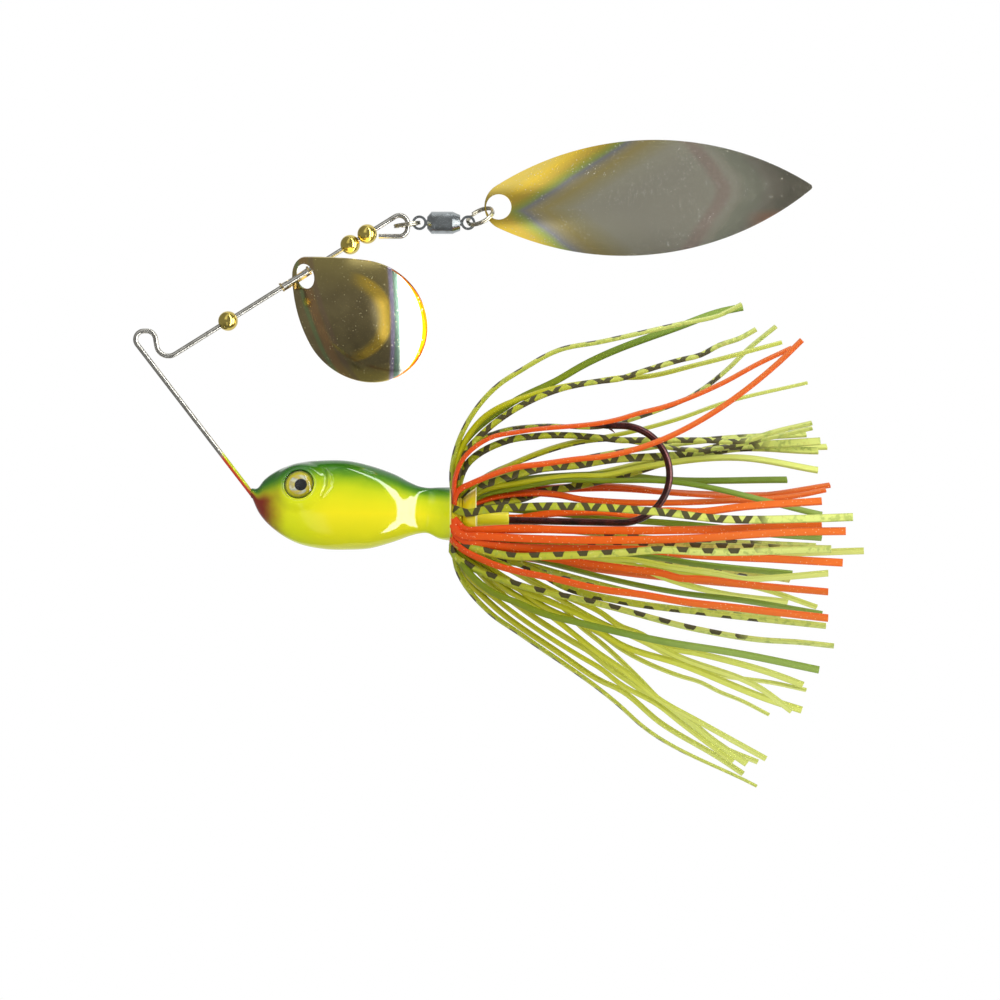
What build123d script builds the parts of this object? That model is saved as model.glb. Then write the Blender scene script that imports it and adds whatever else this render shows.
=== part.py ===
"""Spinnerbait, in millimetres.

The origin is the centre of the open bend that the fishing line ties to. +X runs back
towards the tail, +Z is up, and the wire frame lies in the plane Y = 0.
"""
from build123d import *
from math import asin, cos, degrees, radians, sin, sqrt
import os

# Wire frame: a leg down to the head, an open bend, and an arm that ends in a loop.
WIRE = 0.85
LEG_LENGTH = 34.3
LEG_ANGLE = -52.5
ANCHOR_DEPTH = 3.3
ANCHOR_LENGTH = 5.8
ANCHOR_BEND = 1.5
TIE_TOP = 1.25
TIE_FRONT = -3.25
TIE_WIDTH = 4.53
TIE_DROP = 5.52
TIE_BACK_ANGLE = -80.0
TIE_BEND = 1.4
TIE_LOWER_BEND = 2.0
ARM_LENGTH = 48.9
ARM_ANGLE = 32.0
LOOP_HEIGHT = 4.72
LOOP_ANGLE = -93.0
LOOP_TAIL = 4.75
LOOP_BEND = 1.4

# Head casting, painted lead. Each station gives, as shares of the head's length, height
# and width: the distance behind the nose, the height of its centre above the nose, its
# half height and its half width.
HEAD_LENGTH = 33.1
HEAD_HEIGHT = 14.8
HEAD_WIDTH = 9.0
HEAD_STATIONS = [
    (0.000, 0.010, 0.057, 0.09),
    (0.027, -0.057, 0.128, 0.16),
    (0.060, -0.064, 0.226, 0.25),
    (0.121, -0.078, 0.338, 0.35),
    (0.211, -0.098, 0.439, 0.44),
    (0.363, -0.118, 0.500, 0.50),
    (0.483, -0.125, 0.501, 0.50),
    (0.604, -0.145, 0.461, 0.465),
    (0.660, -0.149, 0.424, 0.430),
    (0.725, -0.155, 0.372, 0.365),
    (0.800, -0.169, 0.297, 0.268),
    (0.840, -0.176, 0.267, 0.223),
    (0.880, -0.182, 0.256, 0.203),
    (0.937, -0.210, 0.287, 0.270),
    (1.000, -0.223, 0.304, 0.500),
]

# Skirt keeper: a core behind the head, a collar that flares back, and a thin sleeve.
KEEPER_DROP = 4.1
CORE_RADIUS = 1.9
CORE_LENGTH = 1.95
COLLAR_RADIUS = 5.3
COLLAR_END = 4.3
SLEEVE_RADIUS = 1.2
SLEEVE_END = 9.7
KEEPER_ROOT = 1.0
RIM_THICKNESS = 0.2

# Eyes: a printed disc and a clear dome, in a shallow seat on each side of the head.
EYE_BACK = 7.9
EYE_RISE = 1.65
EYE_REACH = 3.75
EYE_TILT = 18.0
EYE_YAW = 8.0
EYE_DIAMETER = 4.9
EYE_DISC = 0.3
EYE_RECESS = 0.35
EYE_DOME_HEIGHT = 0.8
EYE_CLEARANCE = 0.05
EYE_BOSS_WALL = 0.3
EYE_BOSS_DEPTH = 2.5

# Hook: its eye and most of its shank are cast into the head.
HOOK_WIRE = 1.2
HOOK_EYE_BACK = 11.9
HOOK_EYE_DROP = 3.65
HOOK_EYE_RADIUS = 1.2
HOOK_SHANK = 48.2
HOOK_SHANK_ANGLE = -1.3
HOOK_BEND_RADIUS = 8.1
HOOK_POINT_RUN = 2.6
HOOK_POINT = 5.3
HOOK_TIP_RADIUS = 0.04
BARB_LENGTH = 1.9
BARB_RADIUS = 0.34
BARB_ANGLE = -42.0

# Skirt: a rubber band on the keeper's core, and strands that leave it like spokes.
BAND_RADIUS = 3.6
BAND_GAP = 0.05
STRAND_GAP = 0.08
STRAND_WIDTH = 1.0
STRAND_THICKNESS = 0.4
STRAND_LENGTH = 68.0
STRAND_ROOT_ANGLE = 80.0
STRAND_FIRST_RUN = 0.44
STRAND_BEND_SHARE = 1.2
STRAND_SECOND_BEND = 45.0
SKIRT_FLATNESS = 0.34

# Each layer of strands: where it leaves the band, where its row starts and how far
# round it goes, then the rise, the flare and the extra flare at the tips, each with
# what is added towards the top of the skirt, and the colour of every strand in turn
# from the bottom, past the left side, over the top and down the right side.
OUTER_ROW = (0.35, -90.0, 360.0, (15.5, 6.0), (21.0, -9.5), (4.0, 0.0), "GCCTOTCCTCTGCTOTCGCC")
MIDDLE_ROW = (0.95, -81.0, 360.0, (8.2, 2.4), (13.0, -7.0), (12.0, 5.0), "CCOOTOGTOOTCOTGOTCCC")
INNER_ROW = (1.55, -246.0, 330.0, (3.5, 0.3), (6.0, 1.0), (6.0, 1.5), "OTOGTOCCTCTOGTOTO")
COLOURS = {"T": "tiger", "O": "orange", "C": "chartreuse", "G": "green"}

# Beads, on the arm.
BEAD = 3.3
BEAD_BORE_CLEARANCE = 0.06
BEAD_GAP = 0.05
LOWER_BEAD_AT = 13.4
UPPER_BEAD_AT = 40.75

# Clevis: a folded strap that spins on the arm and carries the round blade.
CLEVIS_AT = 26.65
CLEVIS_SPAN = 5.3
CLEVIS_DEPTH = 3.5
CLEVIS_STRAP = 0.35
CLEVIS_WIDTH = 1.3
CLEVIS_EAR_RADIUS = 0.8
CLEVIS_BEND = 2.2
CLEVIS_BORE_CLEARANCE = 0.07

# Round (Colorado) blade. It hangs by its hole in the clevis, with the arm through the
# hole, so its place is given along, across and behind the arm from the clevis.
COLORADO_AT = (1.5, -0.55, -0.15)
COLORADO_ANGLE = -35.2
COLORADO_TILT = 28.0
COLORADO_THICKNESS = 0.42
COLORADO_HOLE = 3.8
COLORADO_END_RADIUS = 3.2
COLORADO_END_AT = 0.5
COLORADO_FAR_RADIUS = 10.9
COLORADO_FAR_AT = 12.5
COLORADO_SIDE_RADIUS = 35.0
COLORADO_DOME = 22.0
COLORADO_CROSS_DOME = 20.0

# Sheet that both blades are pressed from: how far it runs past an outline lengthways,
# how far it is bent down on each side, and how far an outline is pushed through it.
SHEET_SPARE = 1.15
SHEET_BEND = 55.0
PRESS_DEPTH = 20.0

# Split ring between the arm's loop and the swivel, and the one that holds the long blade.
RING_SECTION = 0.46
RING_STACK = 0.72
RING_ROUNDING = 0.1
RING_NOTCH = 0.25
RING_NOTCH_STEP = 30.0
WIRE_RING_RADIUS = 2.05
WIRE_RING_RISE = 1.98
WIRE_RING_TILT = 8.0
BLADE_RING_RADIUS = 2.3
BLADE_RING_ANGLE = 27.6
BLADE_RING_LEAN = 63.0

# Ball-bearing swivel.
BARREL_RADIUS = 1.87
BARREL_LENGTH = 5.5
BARREL_FRONT_RADIUS = 1.05
BARREL_FRONT_CONE = 0.72
BARREL_BACK_RADIUS = 1.32
BARREL_BACK_CONE = 1.28
BARREL_WALL = 0.55
BARREL_BORE_RADIUS = 1.3
STUD_NECK_RADIUS = 0.5
STUD_NECK_CLEARANCE = 0.06
STUD_FLANGE_CLEARANCE = 0.1
STUD_FLANGE = 0.55
STUD_EYE_RADIUS = 1.22
STUD_EYE_HOLE = 1.6
STUD_EYE_THICKNESS = 0.6
STUD_EYE_OUT = 1.31
BALL = 0.44
BALL_CLEARANCE = 0.03
BALL_SIDE_CLEARANCE = 0.13
BALL_COUNT = 9

# Long (willow-leaf) blade.
WILLOW_HALF_LENGTH = 29.3
WILLOW_HALF_WIDTH = 9.6
WILLOW_MIDDLE_AT = 23.5
WILLOW_THICKNESS = 0.5
WILLOW_HOLE = 4.2
WILLOW_END_FILLET = 4.0
WILLOW_TIP_FILLET = 0.5
WILLOW_DOME = 150.0
WILLOW_CROSS_DOME = 22.0
WILLOW_ANGLE = 3.7
WILLOW_HANG = 3.45


def along(start, angle, distance):
    """The point at a distance and an angle from another, in the median plane."""
    return (
        start[0] + distance * cos(radians(angle)),
        start[1] + distance * sin(radians(angle)),
    )


def across(direction, reach):
    """A vector of the given length square to a direction, on its upper left."""
    return (-reach * sin(radians(direction)), reach * cos(radians(direction)))


# Corners of the wire, which everything else is placed from.
TIE_FRONT_CORNER = (TIE_FRONT, TIE_TOP)
TIE_BACK_CORNER = along(TIE_FRONT_CORNER, 0, TIE_WIDTH)
TIE_LOW_CORNER = along(TIE_BACK_CORNER, TIE_BACK_ANGLE, TIE_DROP)
ARM_END = along(TIE_LOW_CORNER, ARM_ANGLE, ARM_LENGTH)
LOOP_LOW_CORNER = along(ARM_END, LOOP_ANGLE, LOOP_HEIGHT)
LOOP_END = along(LOOP_LOW_CORNER, 180, LOOP_TAIL)
NOSE = along(TIE_FRONT_CORNER, LEG_ANGLE, LEG_LENGTH)
ANCHOR_CORNER = along(TIE_FRONT_CORNER, LEG_ANGLE, LEG_LENGTH + ANCHOR_DEPTH)
ANCHOR_END = along(ANCHOR_CORNER, 0, ANCHOR_LENGTH)

TAIL_X = NOSE[0] + HEAD_LENGTH
KEEPER_Z = NOSE[1] - KEEPER_DROP


def arm_plane(distance):
    """A plane on the arm, with its Z along the arm and its X towards +Y."""
    point = along(TIE_LOW_CORNER, ARM_ANGLE, distance)
    aim = along((0, 0), ARM_ANGLE, 1)
    return Plane((point[0], 0, point[1]), x_dir=(0, 1, 0), z_dir=(aim[0], 0, aim[1]))


def round_bar(path, diameter):
    """A round bar along a path."""
    return sweep(Plane(path @ 0, z_dir=path % 0) * Circle(diameter / 2), path=path)


def wire_frame():
    corners = [
        ANCHOR_END,
        ANCHOR_CORNER,
        TIE_FRONT_CORNER,
        TIE_BACK_CORNER,
        TIE_LOW_CORNER,
        ARM_END,
        LOOP_LOW_CORNER,
        LOOP_END,
    ]
    bends = [ANCHOR_BEND, TIE_BEND, TIE_BEND, TIE_LOWER_BEND, LOOP_BEND, LOOP_BEND]
    return round_bar(Plane.XZ * FilletPolyline(*corners, radius=bends), WIRE)


def hook():
    eye = (NOSE[0] + HOOK_EYE_BACK, NOSE[1] - HOOK_EYE_DROP)
    shank_start = along(eye, HOOK_SHANK_ANGLE, HOOK_EYE_RADIUS)
    shank_end = along(shank_start, HOOK_SHANK_ANGLE, HOOK_SHANK)
    up = across(HOOK_SHANK_ANGLE, HOOK_BEND_RADIUS)
    middle = (shank_end[0] + up[0], shank_end[1] + up[1])
    top = (middle[0] + up[0], middle[1] + up[1])
    taper_start = along(top, HOOK_SHANK_ANGLE + 180, HOOK_POINT_RUN)
    path = Wire(
        [
            Line(shank_start, shank_end).edge(),
            CenterArc(middle, HOOK_BEND_RADIUS, HOOK_SHANK_ANGLE - 90, 180).edge(),
            Line(top, taper_start).edge(),
        ]
    )
    body = round_bar(Plane.XZ * path, HOOK_WIRE)
    loop = Plane.XZ * Pos(*eye) * Torus(HOOK_EYE_RADIUS, HOOK_WIRE / 2)
    base = (Align.CENTER, Align.CENTER, Align.MIN)
    point = Cone(HOOK_WIRE / 2, HOOK_TIP_RADIUS, HOOK_POINT, align=base)
    barb = Cone(BARB_RADIUS, HOOK_TIP_RADIUS, BARB_LENGTH, align=base)
    return (
        body
        + loop
        + Plane.XZ * aimed(taper_start, HOOK_SHANK_ANGLE + 180) * point
        + Plane.XZ * aimed(taper_start, BARB_ANGLE) * barb
    )


def aimed(point, angle):
    """A place in the median plane's own axes whose Z points at an angle."""
    aim = along((0, 0), angle, 1)
    return Plane((point[0], point[1], 0), z_dir=(aim[0], aim[1], 0)).location


def head_body():
    """The head, lofted through its stations from the nose to the tail face."""
    sections = []
    for back, rise, half_height, half_width in HEAD_STATIONS:
        centre = (NOSE[0] + back * HEAD_LENGTH, 0, NOSE[1] + rise * HEAD_HEIGHT)
        station = Plane(centre, x_dir=(0, 1, 0), z_dir=(1, 0, 0))
        sections.append(station * Ellipse(half_width * HEAD_WIDTH, half_height * HEAD_HEIGHT))
    return loft(sections)


def keeper():
    """The core, the flared collar and the sleeve, turned about the keeper's axis."""
    profile = [
        (-KEEPER_ROOT, 0),
        (-KEEPER_ROOT, CORE_RADIUS),
        (CORE_LENGTH, CORE_RADIUS),
        (COLLAR_END - RIM_THICKNESS, COLLAR_RADIUS),
        (COLLAR_END, COLLAR_RADIUS),
        (COLLAR_END, SLEEVE_RADIUS),
        (SLEEVE_END, SLEEVE_RADIUS),
        (SLEEVE_END, 0),
    ]
    face = make_face(Polyline(*profile, close=True).edges())
    return keeper_frame() * revolve(face, Axis.X, 360)


def keeper_frame():
    return Pos(TAIL_X, 0, KEEPER_Z)


def eye_frame(side):
    """A place on the head's side whose Z points out of the eye."""
    out = (
        -sin(radians(EYE_YAW)),
        side * cos(radians(EYE_TILT)),
        sin(radians(EYE_TILT)),
    )
    centre = (NOSE[0] + EYE_BACK, side * EYE_REACH, NOSE[1] + EYE_RISE)
    return Plane(centre, z_dir=out).location


def eye_disc(side):
    disc = Cylinder(EYE_DIAMETER / 2, EYE_DISC, align=(Align.CENTER, Align.CENTER, Align.MIN))
    return eye_frame(side) * Pos(0, 0, -EYE_RECESS) * disc


def eye_dome(side):
    """A clear cap, cut from a ball, that sits on the disc."""
    reach = EYE_DIAMETER / 2 - EYE_CLEARANCE
    ball = (reach**2 + EYE_DOME_HEIGHT**2) / (2 * EYE_DOME_HEIGHT)
    cap = split(Pos(0, 0, EYE_DOME_HEIGHT - ball) * Sphere(ball), Plane.XY, keep=Keep.TOP)
    return eye_frame(side) * Pos(0, 0, EYE_DISC - EYE_RECESS) * cap


def head_casting(wire, hook_solid):
    """The head and keeper, cast round the wire and the hook, with two eye seats."""
    casting = head_body() + keeper()
    top = (Align.CENTER, Align.CENTER, Align.MAX)
    boss_radius = EYE_DIAMETER / 2 + EYE_CLEARANCE + EYE_BOSS_WALL
    for side in (-1, 1):
        casting += eye_frame(side) * Cylinder(boss_radius, EYE_BOSS_DEPTH, align=top)
        seat = Cylinder(EYE_DIAMETER / 2 + EYE_CLEARANCE, EYE_RECESS, align=top)
        casting -= eye_frame(side) * seat
    return casting - wire - hook_solid


def skirt_band():
    face = Pos(CORE_LENGTH / 2, (CORE_RADIUS + BAND_RADIUS) / 2) * Rectangle(
        CORE_LENGTH - 2 * BAND_GAP, BAND_RADIUS - CORE_RADIUS
    )
    return keeper_frame() * revolve(face, Axis.X, 360)


def strand(root, azimuth, rise, flare, tip_flare):
    """One strip, bent back in the plane through the keeper's axis at its azimuth."""
    top = sin(radians(azimuth))
    narrow = 1 - SKIRT_FLATNESS * (1 - top**2)
    first = narrow * (rise[0] + rise[1] * top)
    flare_angle = narrow * (flare[0] + flare[1] * top)
    tip_angle = flare_angle + tip_flare[0] + tip_flare[1] * top
    second = STRAND_FIRST_RUN * STRAND_LENGTH
    points = [(root, BAND_RADIUS + STRAND_GAP)]
    points.append(along(points[-1], STRAND_ROOT_ANGLE, first))
    points.append(along(points[-1], flare_angle, second))
    points.append(along(points[-1], tip_angle, STRAND_LENGTH - first - second))
    path = FilletPolyline(*points, radius=[STRAND_BEND_SHARE * first, STRAND_SECOND_BEND])
    strip = extrude(trace(path, line_width=STRAND_THICKNESS), STRAND_WIDTH / 2, both=True)
    outward = (0, -cos(radians(azimuth)), sin(radians(azimuth)))
    turn = Plane((0, 0, 0), x_dir=(1, 0, 0), z_dir=Vector(1, 0, 0).cross(Vector(*outward)))
    return keeper_frame() * turn.location * strip


def skirt_strands(letter):
    """All the strands of one colour."""
    strips = []
    for root, start, sweep_angle, rise, flare, tip_flare, colours in (
        OUTER_ROW,
        MIDDLE_ROW,
        INNER_ROW,
    ):
        for place, colour in enumerate(colours):
            if colour == letter:
                azimuth = start + sweep_angle * place / len(colours)
                strips.append(strand(root, azimuth, rise, flare, tip_flare).solid())
    return Compound(children=strips)


def bead(distance):
    bore = Cylinder(WIRE / 2 + BEAD_BORE_CLEARANCE, 2 * BEAD)
    return arm_plane(distance).location * (Sphere(BEAD / 2) - bore)


def clevis():
    """A strap folded to a stirrup, with a round ear at each end."""
    half = CLEVIS_SPAN / 2
    path = FilletPolyline(
        (0, -half),
        (CLEVIS_DEPTH, -half),
        (CLEVIS_DEPTH, half),
        (0, half),
        radius=[CLEVIS_BEND, CLEVIS_BEND],
    )
    strap = extrude(trace(path, line_width=CLEVIS_STRAP), CLEVIS_WIDTH / 2, both=True)
    strap = Plane.XZ * strap
    for end in (-half, half):
        strap += Pos(0, 0, end) * Cylinder(CLEVIS_EAR_RADIUS, CLEVIS_STRAP)
    strap -= Cylinder(WIRE / 2 + CLEVIS_BORE_CLEARANCE, 2 * CLEVIS_SPAN)
    return arm_plane(CLEVIS_AT).location * strap


def domed_sheet(middle, half_length, dome, cross_dome, thickness):
    """A sheet curved both ways, highest over one point of the X axis, at Z = 0."""
    spread = SHEET_SPARE * degrees(asin(half_length / dome))
    outer = CenterArc((middle, -dome), dome, 90 - spread, 2 * spread)
    inner = CenterArc((middle, -dome), dome - thickness, 90 - spread, 2 * spread)
    ends = [Line(outer @ 0, inner @ 0), Line(outer @ 1, inner @ 1)]
    section = Plane.XZ * make_face([outer.edge(), inner.edge(), *[line.edge() for line in ends]])
    axis = Axis((0, 0, -cross_dome), (1, 0, 0))
    return revolve(section, axis, SHEET_BEND) + revolve(section, axis, -SHEET_BEND)


def pressed_blade(outline, sheet, middle, dome, hole):
    """A blade pressed from sheet, with the middle of its hole at the origin."""
    blade = sheet & extrude(outline, PRESS_DEPTH, both=True)
    blade -= Cylinder(hole / 2, 2 * PRESS_DEPTH)
    return Pos(0, 0, dome - sqrt(dome**2 - middle**2)) * blade


def egg_outline():
    """The round blade's edge: a small end, a large end and a long arc down each side."""
    gap = COLORADO_FAR_AT - COLORADO_END_AT
    to_far = COLORADO_SIDE_RADIUS - COLORADO_FAR_RADIUS
    to_end = COLORADO_SIDE_RADIUS - COLORADO_END_RADIUS
    shift = (to_end**2 - to_far**2 - gap**2) / (2 * gap)
    drop = sqrt(to_far**2 - shift**2)
    side = Vector(COLORADO_FAR_AT + shift, -drop)
    far = Vector(COLORADO_FAR_AT, 0)
    end = Vector(COLORADO_END_AT, 0)
    far_touch = side + (far - side).normalized() * COLORADO_SIDE_RADIUS
    end_touch = side + (end - side).normalized() * COLORADO_SIDE_RADIUS
    halfway = side + ((far_touch + end_touch) / 2 - side).normalized() * COLORADO_SIDE_RADIUS
    upper = ThreePointArc(far_touch, halfway, end_touch)
    lower = ThreePointArc(flipped(far_touch), flipped(halfway), flipped(end_touch))
    far_end = far + Vector(COLORADO_FAR_RADIUS, 0)
    near_end = end - Vector(COLORADO_END_RADIUS, 0)
    return make_face(
        [
            upper.edge(),
            ThreePointArc(end_touch, near_end, flipped(end_touch)).edge(),
            lower.edge(),
            ThreePointArc(flipped(far_touch), far_end, far_touch).edge(),
        ]
    )


def flipped(point):
    return Vector(point.X, -point.Y)


def colorado_blade():
    sheet = domed_sheet(
        COLORADO_FAR_AT,
        COLORADO_FAR_AT + COLORADO_END_RADIUS,
        COLORADO_DOME,
        COLORADO_CROSS_DOME,
        COLORADO_THICKNESS,
    )
    blade = pressed_blade(egg_outline(), sheet, COLORADO_FAR_AT, COLORADO_DOME, COLORADO_HOLE)
    forward, above, behind = COLORADO_AT
    place = along(TIE_LOW_CORNER, ARM_ANGLE, CLEVIS_AT + forward)
    offset = across(ARM_ANGLE, above)
    aim = along((0, 0), COLORADO_ANGLE, 1)
    frame = Plane(
        (place[0] + offset[0], behind, place[1] + offset[1]),
        x_dir=(aim[0], 0, aim[1]),
        z_dir=(0, -1, 0),
    )
    return frame.location * Rot(COLORADO_TILT, 0, 0) * blade


def leaf_outline():
    """The long blade's edge: two arcs that meet at the tip, rounded at the hole end."""
    front = (WILLOW_MIDDLE_AT - WILLOW_HALF_LENGTH, 0)
    tip = (WILLOW_MIDDLE_AT + WILLOW_HALF_LENGTH, 0)
    upper = ThreePointArc(front, (WILLOW_MIDDLE_AT, WILLOW_HALF_WIDTH), tip)
    lower = ThreePointArc(tip, (WILLOW_MIDDLE_AT, -WILLOW_HALF_WIDTH), front)
    leaf = make_face([upper.edge(), lower.edge()])
    leaf = fillet(leaf.vertices().sort_by(Axis.X)[0], WILLOW_END_FILLET)
    return fillet(leaf.vertices().sort_by(Axis.X)[-1], WILLOW_TIP_FILLET)


def willow_blade():
    sheet = domed_sheet(
        WILLOW_MIDDLE_AT,
        WILLOW_HALF_LENGTH,
        WILLOW_DOME,
        WILLOW_CROSS_DOME,
        WILLOW_THICKNESS,
    )
    blade = pressed_blade(leaf_outline(), sheet, WILLOW_MIDDLE_AT, WILLOW_DOME, WILLOW_HOLE)
    place = along(blade_ring_centre(), BLADE_RING_ANGLE, WILLOW_HANG)
    aim = along((0, 0), WILLOW_ANGLE, 1)
    frame = Plane(
        (place[0], 0, place[1]), x_dir=(aim[0], 0, aim[1]), z_dir=(0, -1, 0)
    )
    return frame.location * blade


def split_ring(radius):
    """Two flat turns pressed together about Z, with the cut end of each one showing."""
    turn = RING_STACK / 2
    section = Pos(radius, turn / 2) * RectangleRounded(RING_SECTION, turn, RING_ROUNDING)
    section += Pos(radius, -turn / 2) * RectangleRounded(RING_SECTION, turn, RING_ROUNDING)
    waist = Pos(radius, 0) * Rectangle(RING_SECTION - 2 * RING_ROUNDING, turn)
    ring = revolve(Plane.XZ * (section + waist), Axis.Z, 360)
    notch = Box(2 * RING_SECTION, RING_NOTCH, turn)
    for side in (-1, 1):
        place = Rot(0, 0, side * RING_NOTCH_STEP / 2) * Pos(0, radius, side * turn / 2)
        ring -= place * Rot(0, 0, 90) * notch
    return ring


def wire_ring_centre():
    return (LOOP_LOW_CORNER[0], LOOP_LOW_CORNER[1] + WIRE_RING_RISE)


def wire_split_ring():
    centre = wire_ring_centre()
    tilt = along((0, 0), WIRE_RING_TILT, 1)
    frame = Plane((centre[0], 0, centre[1]), x_dir=(tilt[0], 0, tilt[1]), z_dir=(-tilt[1], 0, tilt[0]))
    return frame.location * split_ring(WIRE_RING_RADIUS)


def wire_stud_eye():
    """The middle of the wire-side stud's hole, where the split ring goes through."""
    return along(wire_ring_centre(), WIRE_RING_TILT, WIRE_RING_RADIUS)


def barrel_start():
    eye = wire_stud_eye()
    return (eye[0] + STUD_EYE_OUT, eye[1])


def blade_stud_eye():
    start = barrel_start()
    return (start[0] + BARREL_LENGTH + STUD_EYE_OUT, start[1])


def blade_ring_centre():
    return along(blade_stud_eye(), BLADE_RING_ANGLE, BLADE_RING_RADIUS)


def blade_split_ring():
    centre = blade_ring_centre()
    aim = along((0, 0), BLADE_RING_ANGLE, 1)
    lean = radians(BLADE_RING_LEAN)
    normal = (-aim[1] * sin(lean), -cos(lean), aim[0] * sin(lean))
    frame = Plane((centre[0], 0, centre[1]), x_dir=(aim[0], 0, aim[1]), z_dir=normal)
    return frame.location * split_ring(BLADE_RING_RADIUS)


def turned(profile):
    """A solid turned about the swivel's axis, from its front face."""
    start = barrel_start()
    face = make_face(Polyline(*profile, close=True).edges())
    return Pos(start[0], 0, start[1]) * revolve(face, Axis.X, 360)


def swivel_barrel():
    hole = STUD_NECK_RADIUS + STUD_NECK_CLEARANCE
    return turned(
        [
            (0, hole),
            (0, BARREL_FRONT_RADIUS),
            (BARREL_FRONT_CONE, BARREL_RADIUS),
            (BARREL_LENGTH - BARREL_BACK_CONE, BARREL_RADIUS),
            (BARREL_LENGTH, BARREL_BACK_RADIUS),
            (BARREL_LENGTH, hole),
            (BARREL_LENGTH - BARREL_WALL, hole),
            (BARREL_LENGTH - BARREL_WALL, BARREL_BORE_RADIUS),
            (BARREL_WALL, BARREL_BORE_RADIUS),
            (BARREL_WALL, hole),
        ]
    )


def race_gap():
    """From the inside of the barrel's end wall to the stud's flange."""
    return BALL + 2 * BALL_CLEARANCE


def stud():
    """An eyelet with a neck along +X and a flange for the balls, its hole at the origin."""
    flat = STUD_EYE_THICKNESS
    eyelet = Rot(90, 0, 0) * Cylinder(STUD_EYE_RADIUS, flat)
    eyelet += Pos(STUD_EYE_OUT / 2, 0, 0) * Box(
        STUD_EYE_OUT - 2 * STUD_NECK_CLEARANCE, flat, 2 * STUD_NECK_RADIUS
    )
    flange_at = STUD_EYE_OUT + BARREL_WALL + race_gap()
    neck_start = STUD_EYE_RADIUS - STUD_NECK_CLEARANCE
    base = (Align.CENTER, Align.CENTER, Align.MIN)
    neck = Cylinder(STUD_NECK_RADIUS, flange_at - neck_start, align=base)
    flange = Cylinder(BARREL_BORE_RADIUS - STUD_FLANGE_CLEARANCE, STUD_FLANGE, align=base)
    eyelet += Pos(neck_start, 0, 0) * Rot(0, 90, 0) * neck
    eyelet += Pos(flange_at, 0, 0) * Rot(0, 90, 0) * flange
    return eyelet - Rot(90, 0, 0) * Cylinder(STUD_EYE_HOLE / 2, 2 * STUD_EYE_RADIUS)


def swivel_wire_stud():
    eye = wire_stud_eye()
    return Pos(eye[0], 0, eye[1]) * stud()


def swivel_blade_stud():
    eye = blade_stud_eye()
    return Pos(eye[0], 0, eye[1]) * Rot(0, 180, 0) * stud()


def ball_row(distance):
    """A row of balls between the barrel's end wall and a stud's flange."""
    start = barrel_start()
    ring = PolarLocations(BARREL_BORE_RADIUS - BALL_SIDE_CLEARANCE - BALL / 2, BALL_COUNT)
    centre = Pos(start[0] + distance, 0, start[1]) * Rot(0, 90, 0)
    return Compound(children=[centre * place * Sphere(BALL / 2) for place in ring])


def build():
    wire = wire_frame()
    hook_solid = hook()
    parts = {
        "wire_frame": wire,
        "hook": hook_solid,
        "head_casting": head_casting(wire, hook_solid),
        "skirt_band": skirt_band(),
        "clevis": clevis(),
        "colorado_blade": colorado_blade(),
        "wire_split_ring": wire_split_ring(),
        "swivel_wire_stud": swivel_wire_stud(),
        "swivel_barrel": swivel_barrel(),
        "swivel_blade_stud": swivel_blade_stud(),
        "blade_split_ring": blade_split_ring(),
        "willow_blade": willow_blade(),
    }
    beads = {
        "bead_lower": LOWER_BEAD_AT,
        "bead_middle": UPPER_BEAD_AT - BEAD - BEAD_GAP,
        "bead_upper": UPPER_BEAD_AT,
    }
    for name, distance in beads.items():
        parts[name] = bead(distance)
    race = BARREL_WALL + BALL / 2 + BALL_CLEARANCE
    parts["swivel_wire_balls"] = ball_row(race)
    parts["swivel_blade_balls"] = ball_row(BARREL_LENGTH - race)
    for name, side in {"left": -1, "right": 1}.items():
        parts[f"eye_{name}_disc"] = eye_disc(side)
        parts[f"eye_{name}_dome"] = eye_dome(side)
    for letter, colour in COLOURS.items():
        parts[f"skirt_{colour}_strands"] = skirt_strands(letter)
    return parts


os.makedirs("parts", exist_ok=True)
for name, shape in build().items():
    export_step(shape, f"parts/{name}.step")
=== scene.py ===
"""Spinnerbait: the visual model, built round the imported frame.

Metres. +X runs back along the lure, +Z is up, and the wire frame lies in Y = 0.
"""
import bmesh
import bpy
import math
import numpy as np
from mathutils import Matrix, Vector


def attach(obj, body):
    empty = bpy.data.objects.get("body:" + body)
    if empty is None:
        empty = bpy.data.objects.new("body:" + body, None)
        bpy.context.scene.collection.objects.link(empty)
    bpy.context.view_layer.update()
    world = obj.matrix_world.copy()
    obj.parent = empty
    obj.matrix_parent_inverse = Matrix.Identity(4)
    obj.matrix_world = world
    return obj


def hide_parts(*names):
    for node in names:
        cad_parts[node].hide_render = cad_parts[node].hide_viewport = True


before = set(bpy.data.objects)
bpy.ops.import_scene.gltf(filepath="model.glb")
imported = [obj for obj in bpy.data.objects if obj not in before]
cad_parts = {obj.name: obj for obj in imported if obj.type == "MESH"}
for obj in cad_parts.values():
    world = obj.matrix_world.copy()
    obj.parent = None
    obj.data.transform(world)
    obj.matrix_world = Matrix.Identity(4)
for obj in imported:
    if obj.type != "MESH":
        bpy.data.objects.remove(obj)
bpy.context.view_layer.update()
MM = 0.001
WHITE = (1.0, 1.0, 1.0, 1.0)

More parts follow.
